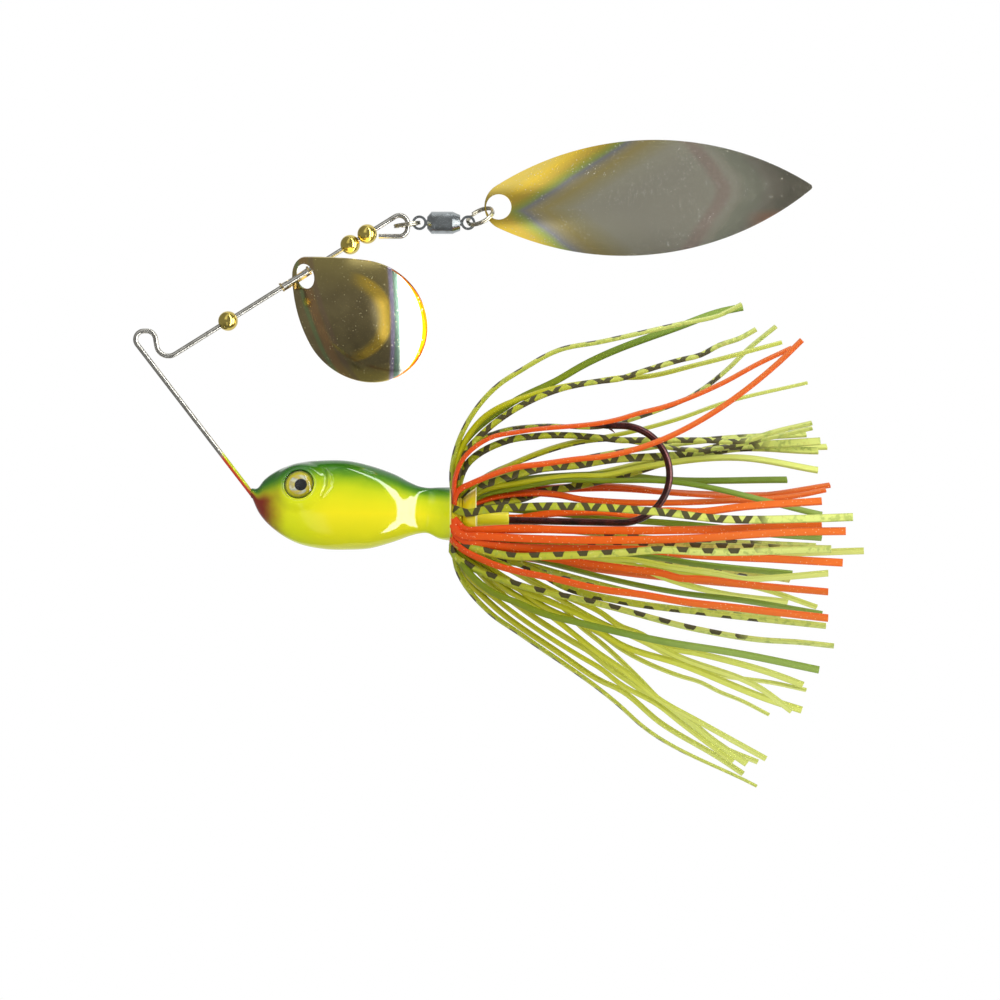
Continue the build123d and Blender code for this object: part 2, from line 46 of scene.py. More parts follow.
# The head, in millimetres from the line tie, as in the CAD. Its stations are shares of its
# length, height and width: how far back, the middle's height, half the height, half the width.
NOSE = np.array([17.631, 0.0, -25.962])
HEAD_LENGTH = 33.1
HEAD_HEIGHT = 14.8
HEAD_WIDTH = 9.0
HEAD_STATIONS = [
    (0.000, 0.010, 0.057, 0.09),
    (0.027, -0.057, 0.128, 0.16),
    (0.060, -0.064, 0.226, 0.25),
    (0.121, -0.078, 0.338, 0.35),
    (0.211, -0.098, 0.439, 0.44),
    (0.363, -0.118, 0.500, 0.50),
    (0.483, -0.125, 0.501, 0.50),
    (0.604, -0.145, 0.461, 0.465),
    (0.660, -0.149, 0.424, 0.430),
    (0.725, -0.155, 0.372, 0.365),
    (0.800, -0.169, 0.297, 0.268),
    (0.840, -0.176, 0.267, 0.223),
    (0.880, -0.182, 0.256, 0.203),
    (0.937, -0.210, 0.287, 0.270),
    (1.000, -0.223, 0.304, 0.500),
]
KEEPER = np.array([NOSE[0] + HEAD_LENGTH, 0.0, NOSE[2] - 4.1])
BAND_RADIUS = 3.6

# The eyes and their seats.
EYE_REACH = 3.75
EYE_TILT = 18.0
EYE_YAW = 8.0
EYE_RADIUS = 2.45
EYE_RECESS = 0.35
EYE_BACK = 7.9
EYE_RISE = 1.65
EYE_DISC = 0.3
EYE_DOME = 0.8
EYE_AROUND = 72
EYE_CROWN = 0.12
PUPIL_SHIFT = 0.3
SEAT_LIP = 2.8
SEAT_BLEND = 4.7
SEAT_LEVEL = 0.03
SEAT_RING = EYE_RADIUS + 0.2
SEAT_BEAD = 0.15

# The head's mesh, its two ends, and the way the wire leg runs into it.
HEAD_ROWS = 230
HEAD_AROUND = 220
NOSE_CAP = 0.35
NOSE_CAP_ANGLES = (84, 66, 48, 30, 14)
HEAD_LIP = (0.1, 0.0, -0.12, -0.12)
LEG = math.radians(-52.5)

# Gill cover: heights above the nose, and how far back its front and rear edges lie there.
GILL_FRONT = (
    [-0.92, -0.74, 0.29, 1.38, 2.84, 3.86, 4.63],
    [11.4, 11.45, 12.04, 12.47, 12.60, 12.29, 11.52],
)
GILL_REAR = (
    [-0.92, 0.23, 1.11, 2.14, 3.29, 4.24, 4.63],
    [11.5, 12.60, 13.37, 13.50, 13.24, 12.47, 11.9],
)
GILL_HEIGHT = 0.36
GILL_GROOVE = 0.12
GILL_EDGE = 0.3

# Blades, split rings and skirt, in millimetres and degrees.
BLADE_ROWS = 34
BLADE_EDGE = 0.3
RING_WIRE = 0.34
RING_BREADTH = 0.44
RING_END = 0.22
RING_START = 2.2
BAR_PITCH = 4.35
STRAND_STEPS = 56
STRAND_SIZES = (1.3, 0.5, 0.12)
TWIST = 15.0
STRAND_SEED = 7
STRIP_CREASE = 60.0
SKIRT_REACH = 48.0
SKIRT_DEPTH = 27.0

# The studio, in metres, and the strengths of its lights.
MIDDLE = (0.05893, 0.0, -0.02692)
VIEW_WIDTH = 0.16667
CAMERA_REACH = 1.2
SENSOR = 36
ROOM_REACH = 0.9
STRIP_REACH = 0.9 * ROOM_REACH
BOX_LIGHT = 13.0
STRIP_LIGHT = 6.0
SIDE_LIGHT = 6.0
PANEL_STEPS = 60
FLOOR_Z = -0.14
FLOOR_REACH = 0.34
FLOOR_MIDDLE = 0.055
FLOOR_SIDES = 96
WALL_LIGHT = 0.62

# Strands, with a semicolon after each: its kind, how far its tip leans out of the middle plane
# (negative is left), how far its wide face turns from facing left, and its line as distances
# behind the line tie and heights above it. Kinds: T tiger with bars along one edge, Z tiger with
# bars over the whole face, O orange, C chartreuse, and G green.
STRANDS = """
T -0.05 70 51.3,-26.9 50.9,-23.6 58.9,-7.6 62.3,-5.4 68.9,-1.9 75.6,-0.6 88.9,2.4 95.6,3.9
  99.2,5.7;
G 0.15 45 51.3,-26.9 51.1,-23.2 51.9,-19.4 60.6,-10.9 68.9,-6.7 72.3,-4.7 89.0,2.1 95.7,4.5
  99.5,5.3;
C -0.15 65 51.3,-26.9 51.9,-19.9 55.6,-13.8 65.6,-9.0 75.6,-7.1 78.9,-6.6 82.2,-6.5 92.2,-4.3
  105.8,-0.7;
Z -0.3 60 51.4,-26.9 52.9,-19.4 55.3,-16.6 68.9,-8.5 75.5,-7.2 78.8,-6.8 82.2,-5.7 88.8,-3.7
  92.1,-2.9 95.4,-1.2 98.7,-0.1 101.4,1.4;
Z 0.35 78 51.6,-26.9 52.1,-21.9 55.9,-16.6 58.9,-15.4 65.6,-14.5 75.7,-14.7 85.7,-11.8 89.1,-10.5
  97.5,-4.6 100.0,-2.1 105.2,2.2;
O -0.55 72 51.3,-27.3 51.4,-23.6 52.3,-20.9 57.3,-16.6 62.2,-15.6 78.8,-13.5 82.1,-12.5 85.4,-11.7
  95.3,-7.8 101.8,-4.3 107.1,-1.8;
O -0.75 62 51.3,-27.6 51.6,-25.9 52.6,-24.9 53.9,-24.3 62.2,-21.4 65.6,-21.0 72.2,-20.1 75.5,-19.8
  105.0,-4.1 108.6,-0.6;
C 0.45 75 51.6,-26.9 53.9,-24.4 56.4,-23.1 72.3,-17.0 75.7,-16.5 89.2,-13.2 95.9,-10.8 110.6,-7.2;
Z 0.25 55 51.4,-26.9 53.3,-21.1 59.8,-17.1 65.6,-16.2 75.7,-16.5 79.0,-16.9 82.4,-16.9 92.4,-16.9
  100.5,-16.9 104.2,-15.7 111.2,-14.0;
Z 0.5 70 51.9,-26.9 55.6,-23.6 62.3,-20.4 79.1,-16.8 82.4,-17.3 92.6,-18.5 99.3,-17.5 111.5,-14.8;
Z 0.6 15 51.3,-28.8 55.6,-24.7 58.9,-23.6 65.6,-21.7 72.4,-21.0 75.7,-20.4 92.6,-18.8 96.0,-18.0
  99.4,-17.8 113.0,-17.0;
Z 0.65 30 51.3,-29.5 55.2,-27.6 62.3,-26.8 65.6,-25.7 69.0,-25.1 79.1,-22.9 89.3,-20.0 92.7,-19.5
  96.1,-18.6 112.7,-18.6;
G 0.7 55 51.3,-28.8 55.6,-25.1 58.9,-24.2 72.4,-22.7 79.2,-22.7 85.9,-23.4 107.5,-23.5;
C 0.5 55 51.3,-29.0 55.6,-25.6 62.3,-24.1 72.4,-22.9 75.7,-22.9 82.5,-21.5 99.3,-19.8 112.5,-21.9;
G 0.4 65 51.3,-29.2 55.6,-26.4 62.3,-24.9 69.0,-23.7 75.7,-23.7 85.8,-23.7 113.1,-29.4;
C 0.85 70 51.3,-29.1 55.6,-26.1 65.7,-23.9 75.8,-22.2 92.8,-18.5 114.4,-17.9;
O 0.8 72 51.3,-28.9 52.6,-27.9 58.9,-25.4 62.3,-25.1 82.6,-24.9 86.0,-25.4 103.0,-26.1 114.9,-24.4;
O 0.55 55 51.3,-29.2 52.6,-28.4 69.0,-26.1 72.4,-26.8 75.7,-27.1 96.0,-27.1 109.5,-26.1
  113.9,-25.2;
Z -0.95 5 51.3,-28.4 53.6,-29.1 55.6,-28.7 62.2,-28.1 85.2,-28.9 94.9,-30.0 107.9,-30.0
  116.5,-29.7;
O 0.2 35 51.3,-30.1 58.9,-29.9 62.3,-29.9 65.6,-29.4 75.7,-28.9 82.4,-29.3 85.7,-28.8 92.4,-28.9
  99.1,-28.1 112.8,-27.1;
O -0.8 15 51.3,-30.1 53.1,-31.9 55.6,-31.9 58.9,-31.7 72.1,-31.9 91.8,-31.8 111.6,-31.0;
O -0.9 10 51.3,-30.1 51.3,-31.6 52.6,-32.7 55.6,-32.9 88.5,-33.3 108.0,-32.1 115.4,-32.0;
O -0.75 10 51.3,-30.9 51.5,-32.4 53.1,-33.7 55.6,-34.1 88.5,-35.6 91.8,-36.0 98.3,-36.3
  115.1,-37.2;
T -0.6 35 51.3,-31.2 52.6,-32.2 54.9,-32.6 63.9,-33.7 68.9,-33.9 113.4,-35.0;
T -0.95 25 51.3,-32.4 51.6,-33.9 55.6,-35.2 62.2,-36.3 65.5,-36.2 78.7,-35.6 85.2,-35.1 91.7,-35.4
  112.9,-34.9;
C -0.5 45 51.3,-31.9 55.6,-33.7 65.6,-34.7 92.0,-35.3 101.8,-35.7 118.9,-35.3;
O -0.7 40 51.3,-31.9 55.6,-34.4 62.2,-35.7 82.0,-38.5 85.3,-38.9 88.6,-39.8 91.8,-39.9 98.4,-40.7
  112.8,-42.0;
O -0.97 45 51.3,-32.4 51.0,-33.6 52.0,-34.6 56.4,-37.0 68.8,-40.1 75.4,-41.6 81.9,-42.4 88.4,-43.5
  98.2,-44.6 112.5,-46.2;
G -0.3 65 51.3,-32.6 55.6,-34.4 60.6,-35.7 88.8,-42.3 98.7,-43.5 112.3,-45.8;
C 0.3 60 51.3,-31.0 55.6,-33.8 65.6,-35.3 75.7,-36.6 82.4,-37.1 85.7,-37.8 95.8,-39.3 100.0,-40.2
  104.2,-40.0 114.0,-39.2;
G 0.35 60 51.3,-31.0 52.6,-31.8 58.9,-33.8 79.1,-36.3 82.4,-36.3 92.5,-37.7 108.0,-39.3;
C 0.5 60 51.3,-31.2 52.6,-32.2 58.9,-34.5 69.0,-36.3 82.5,-38.3 85.8,-39.7 96.0,-42.6 107.4,-44.1;
C 0.6 60 51.3,-31.3 52.6,-32.4 58.9,-35.0 69.0,-37.0 89.2,-39.0 96.0,-40.4 102.8,-41.8 112.4,-45.0;
T -0.7 55 51.3,-32.9 51.0,-35.6 53.9,-37.9 61.4,-40.8 75.5,-44.1 91.9,-48.3 101.7,-49.9
  108.2,-50.3 113.8,-50.9;
T -0.5 45 51.3,-32.9 58.9,-36.2 64.7,-38.5 69.7,-41.3 78.8,-43.6 92.0,-45.4 112.7,-47.7;
G -0.8 45 51.3,-33.2 50.9,-35.2 52.3,-37.2 57.3,-42.0 62.2,-44.1 65.5,-45.5 72.1,-47.2 85.3,-50.1
  98.4,-52.2 111.3,-54.8;
G 0.45 50 51.3,-29.7 55.6,-28.6 65.6,-28.9 75.7,-29.9 95.9,-31.6 102.7,-32.5 113.1,-33.3;
T -0.05 75 51.3,-33.2 51.6,-37.7 57.3,-45.7 62.3,-49.2 78.9,-61.2 82.2,-64.2 101.7,-74.6;
C 0.1 60 51.3,-33.3 52.3,-38.6 57.3,-44.1 68.9,-52.5 75.6,-57.0 79.0,-58.6 85.6,-64.0 95.6,-70.0
  99.5,-72.6;
C -0.15 68 51.3,-33.2 53.1,-38.9 58.9,-43.9 72.2,-52.9 75.6,-54.9 78.9,-57.5 85.5,-61.2 88.9,-63.9
  97.7,-70.5;
C 0.25 55 51.3,-32.8 52.6,-35.2 57.3,-41.0 60.6,-43.6 70.6,-50.3 74.0,-52.3 77.3,-55.0 80.7,-57.3
  87.3,-62.0 90.7,-64.0 94.0,-66.7 100.2,-71.0;
C -0.3 62 51.3,-33.2 52.3,-35.6 55.6,-37.9 58.9,-40.9 66.4,-45.5 75.5,-52.5 78.9,-54.8 85.5,-60.1
  92.1,-63.8 103.1,-69.9;
C 0.4 70 51.3,-32.1 52.6,-33.8 65.6,-43.0 69.0,-44.6 72.3,-48.0 75.7,-50.7 82.4,-57.0 85.7,-60.4
  89.1,-63.1 95.8,-68.1 102.1,-70.8;
C 0.6 60 51.3,-31.4 55.6,-35.5 58.9,-37.3 69.0,-42.7 75.7,-45.7 79.1,-48.1 82.5,-49.4 85.8,-51.3
  92.6,-52.8 106.1,-56.6 110.0,-58.1;
C -0.4 55 51.3,-33.1 52.6,-35.2 55.6,-37.4 62.3,-41.9 65.6,-44.2 75.5,-48.8 78.8,-50.8 88.8,-54.1
  103.6,-60.0 108.9,-61.7;
C 0.3 68 51.3,-32.3 55.6,-39.0 58.9,-41.3 70.6,-47.0 75.7,-49.3 79.0,-51.7 89.1,-56.4 92.4,-57.4
  95.8,-59.1 99.1,-60.4 104.0,-62.9;
C -0.55 60 51.3,-33.1 51.6,-35.2 53.9,-37.2 60.6,-41.0 70.5,-45.2 75.5,-47.5 82.1,-49.8 88.7,-52.9
  101.9,-58.0 107.1,-61.8;
C 0.7 65 51.3,-31.5 55.6,-35.8 62.3,-39.5 75.7,-47.4 82.5,-50.5 92.6,-55.6 106.2,-58.0 110.6,-59.0;
T 0.9 60 51.3,-30.5 52.6,-30.8 65.7,-31.6 79.2,-33.0 112.5,-34.7;
T 0.8 60 51.3,-31.2 52.6,-32.2 65.7,-34.5 92.8,-38.1 108.1,-40.5;
T 0.7 60 51.3,-32.1 52.6,-34.0 65.6,-38.3 92.7,-44.8 106.3,-46.7;
T 0.9 60 51.3,-28.3 52.6,-26.7 58.9,-22.9 69.0,-20.7 92.8,-16.9 110.9,-15.7;
O 0.95 50 51.3,-30.6 52.6,-31.0 69.0,-32.0 110.0,-31.9;
O 0.9 50 51.3,-31.0 52.6,-31.8 69.0,-33.7 109.9,-32.5;
O 0.85 50 51.3,-31.3 52.6,-32.5 69.0,-35.2 82.6,-35.7 96.2,-36.6 109.9,-37.1;
O 0.75 50 51.3,-31.8 52.6,-33.4 65.6,-37.0 79.2,-39.1 109.7,-42.2;
O 0.95 50 51.3,-29.1 52.6,-28.1 62.3,-25.9 75.8,-24.9 92.9,-25.9 106.6,-25.9 111.7,-25.2
"""


# ---------------------------------------------------------------- finishes

def tint(red, green, blue):
    """A colour as it should look, from 0 to 255 a channel, as linear light."""
    shares = [channel / 255 for channel in (red, green, blue)]
    return tuple(((share + 0.055) / 1.055) ** 2.4 for share in shares) + (1.0,)


class Level:
    """One output of a node. Sums on it are written as plain expressions."""

    def __init__(self, nodes, socket):
        self.nodes = nodes
        self.socket = socket

    def __rsub__(self, other):
        return self.nodes.sum_of("SUBTRACT", other, self)

    def fade(self, start, end, low=0.0, high=1.0):
        """A smooth step from low to high as this level goes from start to end."""
        sockets = {0: self, 1: start, 2: end, 3: low, 4: high}
        return self.nodes.node("ShaderNodeMapRange", {"interpolation_type": "SMOOTHSTEP"}, sockets)

    def strip(self, start, full, fading, end):
        """1 between full and fading, and 0 outside start and end."""
        return self.fade(start, full) * self.fade(end, fading)

    def ramp(self, *stops):
        """Colours along this level, from (place, red, green, blue) stops."""
        stops = [(place, tint(*colour)) for place, *colour in stops]
        return self.nodes.node("ShaderNodeValToRGB", {"stops": stops}, {0: self})

    def under(self, colour, share):
        """This colour with another laid over it, by a share from 0 to 1."""
        return self.nodes.over(self, tint(*colour), share)


# The sums that a level takes part in.
for name, operation in (
    ("__add__", "ADD"), ("__radd__", "ADD"), ("__sub__", "SUBTRACT"), ("__mul__", "MULTIPLY"),
    ("__rmul__", "MULTIPLY"), ("__truediv__", "DIVIDE"), ("__mod__", "FLOORED_MODULO"),
    ("__abs__", "ABSOLUTE"), ("root", "SQRT"), ("most", "MAXIMUM"), ("least", "MINIMUM"),
):
    def sum_with(self, *others, operation=operation):
        return self.nodes.sum_of(operation, self, *others)

    setattr(Level, name, sum_with)


class Nodes:
    """A node tree that is written as expressions."""

    def __init__(self, tree):
        self.tree = tree

    def feed(self, socket, value):
        """Links a level to a socket, or sets the socket's own value."""
        if isinstance(value, Level):
            self.tree.links.new(value.socket, socket)
        else:
            socket.default_value = value

    def node(self, kind, settings=(), sockets=(), out=0):
        """Any node, with its settings first and then its sockets, as one of its outputs."""
        made = self.tree.nodes.new(kind)
        for key, value in dict(settings).items():
            if key == "stops":
                marks = made.color_ramp.elements
                marks.remove(marks[1])
                marks[0].position, marks[0].color = value[0]
                for place, colour in value[1:]:
                    marks.new(place).color = colour
            else:
                setattr(made, key, value)
        for key, value in dict(sockets).items():
            self.feed(made.inputs[key], value)
        return Level(self, made.outputs[out])

    def sum_of(self, operation, *values):
        return self.node("ShaderNodeMath", {"operation": operation}, dict(enumerate(values)))

    def over(self, below, above, share):
        """A colour laid over another, by a share from 0 to 1."""
        sockets = {0: share, 6: below, 7: above}
        return self.node("ShaderNodeMix", {"data_type": "RGBA"}, sockets, out=2)


class Finish(Nodes):
    """A material being mixed: its nodes, and the shader that they feed."""

    def __init__(self, name, **constants):
        self.material = bpy.data.materials.new(name)
        self.material.use_nodes = True
        super().__init__(self.material.node_tree)
        self.shader = self.tree.nodes["Principled BSDF"]
        self.coat(constants)

    def coat(self, sockets):
        """Sets or links sockets of the shader; an underscore stands for a space."""
        for name, value in sockets.items():
            self.feed(self.shader.inputs[name.replace("_", " ")], value)

    def place(self):
        return self.node("ShaderNodeTexCoord", out="Object")

    def axes(self):
        """The place on the piece in millimetres, as three levels."""
        split = self.tree.nodes.new("ShaderNodeSeparateXYZ")
        self.feed(split.inputs[0], self.place())
        return [Level(self, output) / MM for output in split.outputs]

    def drawn(self, name):
        """A level that was stored on the mesh."""
        return self.node("ShaderNodeAttribute", {"attribute_name": name}, out="Fac")

    def grain(self, size, detail=2.0, vector=None):
        """Noise whose patches are about one size, in millimetres, from 0 to 1."""
        where = vector or self.place()
        sockets = {"Vector": where, "Scale": 1 / (size * MM), "Detail": detail}
        return self.node("ShaderNodeTexNoise", (), sockets)

    def specks(self, size, reach):
        """Small separate spots: 1 in a spot and 0 between them."""
        sockets = {"Vector": self.place(), "Scale": 1 / (size * MM)}
        return self.node("ShaderNodeTexVoronoi", (), sockets).fade(reach, 0.0)

    def glow(self, strength):
        """White light of a given strength."""
        return self.node("ShaderNodeEmission", (), {"Color": WHITE, "Strength": strength})

    def show(self, shader):
        """Makes a shader the whole look of the material."""
        self.feed(self.tree.nodes["Material Output"].inputs["Surface"], shader)

    def bumps(self, height, depth):
        """Puts a relief on the shader, its depth in millimetres."""
        sockets = {"Height": height, "Distance": depth * MM}
        self.coat({"Normal": self.node("ShaderNodeBump", (), sockets)})


# ---------------------------------------------------------------- mesh tools

def outward(mesh):
    """Turns the faces of a closed mesh outwards."""
    work = bmesh.new()
    work.from_mesh(mesh)
    bmesh.ops.recalc_face_normals(work, faces=work.faces)
    work.to_mesh(mesh)
    work.free()


def stand(name, data):
    """A new object in the scene."""
    made = bpy.data.objects.new(name, data)
    bpy.context.scene.collection.objects.link(made)
    return made


def store(mesh, levels):
    """Notes levels on a mesh's points, for the finishes to read."""
    for key, values in dict(levels).items():
        note = mesh.attributes.new(key, "FLOAT", "POINT")
        note.data.foreach_set("value", np.asarray(values, np.float32))


def shape(name, mesh, crease):
    """A mesh as an object: its faces outwards, smooth but for edges over the crease angle."""
    outward(mesh)
    mesh.shade_smooth()
    mesh.set_sharp_from_angle(angle=math.radians(crease))
    return stand(name, mesh)


def piece(name, points, faces, finish, body, stands_for, levels=(), crease=40.0):
    """A finished mesh piece, from points in millimetres, on its body."""
    mesh = bpy.data.meshes.new(name)
    mesh.from_pydata([tuple(point) for point in np.asarray(points) * MM], [], faces)
    store(mesh, levels)
    mesh.materials.append(finish.material)
    return fit(shape(name, mesh, crease), body, stands_for)


def fit(made, body, stands_for):
    """Puts a piece on its body and the CAD nodes that it takes the place of."""
    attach(made, body)
    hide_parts(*stands_for)
    return made


def dress(finish, *nodes):
    """Gives CAD nodes a finish."""
    for node in nodes:
        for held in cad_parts[node].material_slots:
            held.material = finish.material


def rings_to_skin(rings, ends=True, loop=False):
    """Points and faces of a skin through closed rings of as many points each."""
    rings = np.asarray(rings)
    count, around = rings.shape[:2]
    points = rings.reshape(-1, 3)
    faces = []
    for row in range(count if loop else count - 1):
        for step in range(around):
            after = (step + 1) % around
            a, b = row * around, (row + 1) % count * around
            faces.append((a + step, a + after, b + after, b + step))
    if ends:
        faces.append(tuple(range(around)))
        faces.append(tuple(range((count - 1) * around, count * around)))
    return points, faces


def smooth_run(points, count):
    """Points evenly along a smooth curve through the given ones."""
    points = np.asarray(points, float)
    gaps = np.linalg.norm(np.diff(points, axis=0), axis=1)
    along = np.concatenate([[0], np.cumsum(gaps)])
    slopes = np.gradient(points, along, axis=0)
    wanted = np.linspace(0, along[-1], count)
    at = np.clip(np.searchsorted(along, wanted, side="right") - 1, 0, len(gaps) - 1)
    gap = gaps[at][:, None]
    t = ((wanted - along[at]) / gaps[at])[:, None]
    return (
        (2 * t**3 - 3 * t**2 + 1) * points[at]
        + (t**3 - 2 * t**2 + t) * gap * slopes[at]
        + (3 * t**2 - 2 * t**3) * points[at + 1]
        + (t**3 - t**2) * gap * slopes[at + 1]
    )


def turned(profile, centre, axis, turn_steps=96):
    """Rings of a shape turned about an axis, from (distance along, radius) pairs."""
    axis = np.asarray(axis, float) / np.linalg.norm(axis)
    side = np.cross(axis, (0.0, 1.0, 0.0))
    side = side / np.linalg.norm(side)
    other = np.cross(axis, side)
    angles = np.arange(turn_steps) / turn_steps * 2 * math.pi
    ring = np.outer(np.cos(angles), side) + np.outer(np.sin(angles), other)
    return [np.asarray(centre) + axis * along + ring * radius for along, radius in profile]


# ---------------------------------------------------------------- flat strip along a path

def group_socket(tree, name, kind, default=None):
    """A socket into a node tree, by the name that a modifier knows it by."""
    made = tree.interface.new_socket(name=name, in_out="INPUT", socket_type=kind)
    if default is not None:
        made.default_value = default
    return made.identifier


def strip_maker():
    """A node tree that draws a flat strip along every run of edges of a mesh."""
    tree = bpy.data.node_groups.new("flat_strip", "GeometryNodeTree")
    names = {"Paths": group_socket(tree, "Paths", "NodeSocketGeometry")}
    for name, default in (("Width", 1.1 * MM), ("Thickness", 0.4 * MM), ("Rounding", 0.08 * MM)):
        names[name] = group_socket(tree, name, "NodeSocketFloat", default)
    names["Finish"] = group_socket(tree, "Finish", "NodeSocketMaterial")
    tree.interface.new_socket(name="Strips", in_out="OUTPUT", socket_type="NodeSocketGeometry")
    nodes = Nodes(tree)
    thick, wide, rounding = (
        nodes.node("NodeGroupInput", out=name) for name in ("Thickness", "Width", "Rounding")
    )
    run = nodes.node("GeometryNodeMeshToCurve", (), {
        0: nodes.node("NodeGroupInput", out="Paths"),
    })
    facing = nodes.node("GeometryNodeInputNamedAttribute", {"data_type": "FLOAT_VECTOR"}, {
        "Name": "facing",
    })
    aimed = nodes.node("GeometryNodeSetCurveNormal", {"mode": "FREE"}, {
        "Curve": run, "Normal": facing,
    })
    section = nodes.node("GeometryNodeCurvePrimitiveQuadrilateral", (), {
        "Width": thick, "Height": wide,
    })
    section = nodes.node("GeometryNodeFilletCurve", {"mode": "POLY"}, {
        "Curve": section, "Count": 2, "Radius": rounding,
    })
    place = nodes.node("GeometryNodeInputPosition")
    height = nodes.node("ShaderNodeSeparateXYZ", (), {0: place}, out=1)
    section = nodes.node("GeometryNodeStoreNamedAttribute", {"data_type": "FLOAT"}, {
        "Geometry": section, "Name": "across", "Value": height / wide,
    })
    drawn = nodes.node("GeometryNodeCurveToMesh", (), {
        "Curve": aimed, "Profile Curve": section, "Fill Caps": True,
    })
    whole = nodes.node("GeometryNodeRealizeInstances", (), {0: drawn})
    painted = nodes.node("GeometryNodeSetMaterial", (), {
        "Geometry": whole, "Material": nodes.node("NodeGroupInput", out="Finish"),
    })
    nodes.feed(tree.nodes.new("NodeGroupOutput").inputs[0], painted)
    return tree, names


def strips(name, runs, facings, sizes, finish, body, node, levels):
    """One piece of flat strips, each along its own run of points in millimetres."""
    points = np.concatenate(runs) * MM
    edges = []
    start = 0
    for run in runs:
        edges += [(start + step, start + step + 1) for step in range(len(run) - 1)]
        start += len(run)
    guide = bpy.data.meshes.new(name + "_paths")
    guide.from_pydata([tuple(point) for point in points], edges, [])
    facing = guide.attributes.new("facing", "FLOAT_VECTOR", "POINT")
    facing.data.foreach_set("vector", np.concatenate(facings).astype(np.float32).ravel())
    store(guide, {key: np.concatenate(values) for key, values in levels.items()})
    paths = stand(name + "_paths", guide)
    tree, names = STRIP
    draw = paths.modifiers.new("draw", "NODES")
    draw.node_group = tree
    for key, value in zip(("Width", "Thickness", "Rounding"), sizes):
        draw[names[key]] = value * MM
    draw[names["Finish"]] = finish.material
    mesh = bpy.data.meshes.new_from_object(
        paths.evaluated_get(bpy.context.evaluated_depsgraph_get())
    )
    bpy.data.objects.remove(paths)
    mesh.name = name
    return fit(shape(name, mesh, STRIP_CREASE), body, [node])


STRIP = strip_maker()


# ---------------------------------------------------------------- head

def paint():
    """Airbrushed back over chartreuse and yellow, a red-brown nose, a clear coat, and a painted
    highlight on the tail's lip.
    """
    finish = Finish(
        "head_paint", Roughness=0.35, Specular_IOR_Level=0.1, Coat_Weight=1.0, Coat_Roughness=0.035
    )
    along = finish.drawn("along")
    mist = finish.grain(2.5) - 0.5
    height = finish.drawn("height") + along.fade(0.36, 0.0) * 0.22 + mist * 0.12
    body = (height * 0.5 + 0.5).ramp(
        (0.00, 206, 212, 0), (0.22, 228, 222, 0), (0.42, 244, 230, 0),
        (0.56, 230, 226, 0), (0.70, 204, 216, 0), (0.79, 160, 192, 2),
        (0.86, 96, 150, 6), (0.93, 50, 116, 14), (1.00, 34, 92, 20),
    )
    ends = along.fade(0.42, 0.2).most(along.fade(0.8, 0.98))
    body = body.under((200, 222, 0), ends * 0.55 * height.fade(0.5, 0.2))
    blush = (along + mist * 0.05).fade(0.2, 0.05) * height.fade(1.0, 0.1)
    body = body.under((122, 34, 2), blush)
    # Painted highlight: a pale cream line on the lip at the tail end.
    rim = along.fade(0.992, 0.999)
    finish.coat({"Base Color": body.under((238, 236, 150), rim * 0.8)})
    return finish


def eye_axes(side):
    """The middle of an eye's seat and the way it faces."""
    out = np.array([
        -math.sin(math.radians(EYE_YAW)),
        side * math.cos(math.radians(EYE_TILT)),
        math.sin(math.radians(EYE_TILT)),
    ])
    centre = NOSE + (EYE_BACK, side * EYE_REACH, EYE_RISE)
    return centre, out / np.linalg.norm(out)


def eased(value):
    """A smooth step from 0 to 1."""
    value = np.clip(value, 0, 1)
    return value * value * (3 - 2 * value)


def gill_relief(points):
    """Height of the gill cover's raised edge at each point of the head."""
    back, height = (points - NOSE)[:, 0], (points - NOSE)[:, 2]
    front = np.interp(height, *GILL_FRONT)
    rear = np.interp(height, *GILL_REAR)
    inside = np.minimum(back - front, rear - back)
    raised = GILL_HEIGHT * eased(inside / GILL_EDGE + 0.35)
    sunk = GILL_GROOVE * np.exp(-((back - front + 0.12) / 0.16) ** 2)
    span = eased((height - GILL_FRONT[0][0]) / 0.5) * eased((GILL_FRONT[0][-1] - height) / 0.9)
    return (raised - sunk) * span


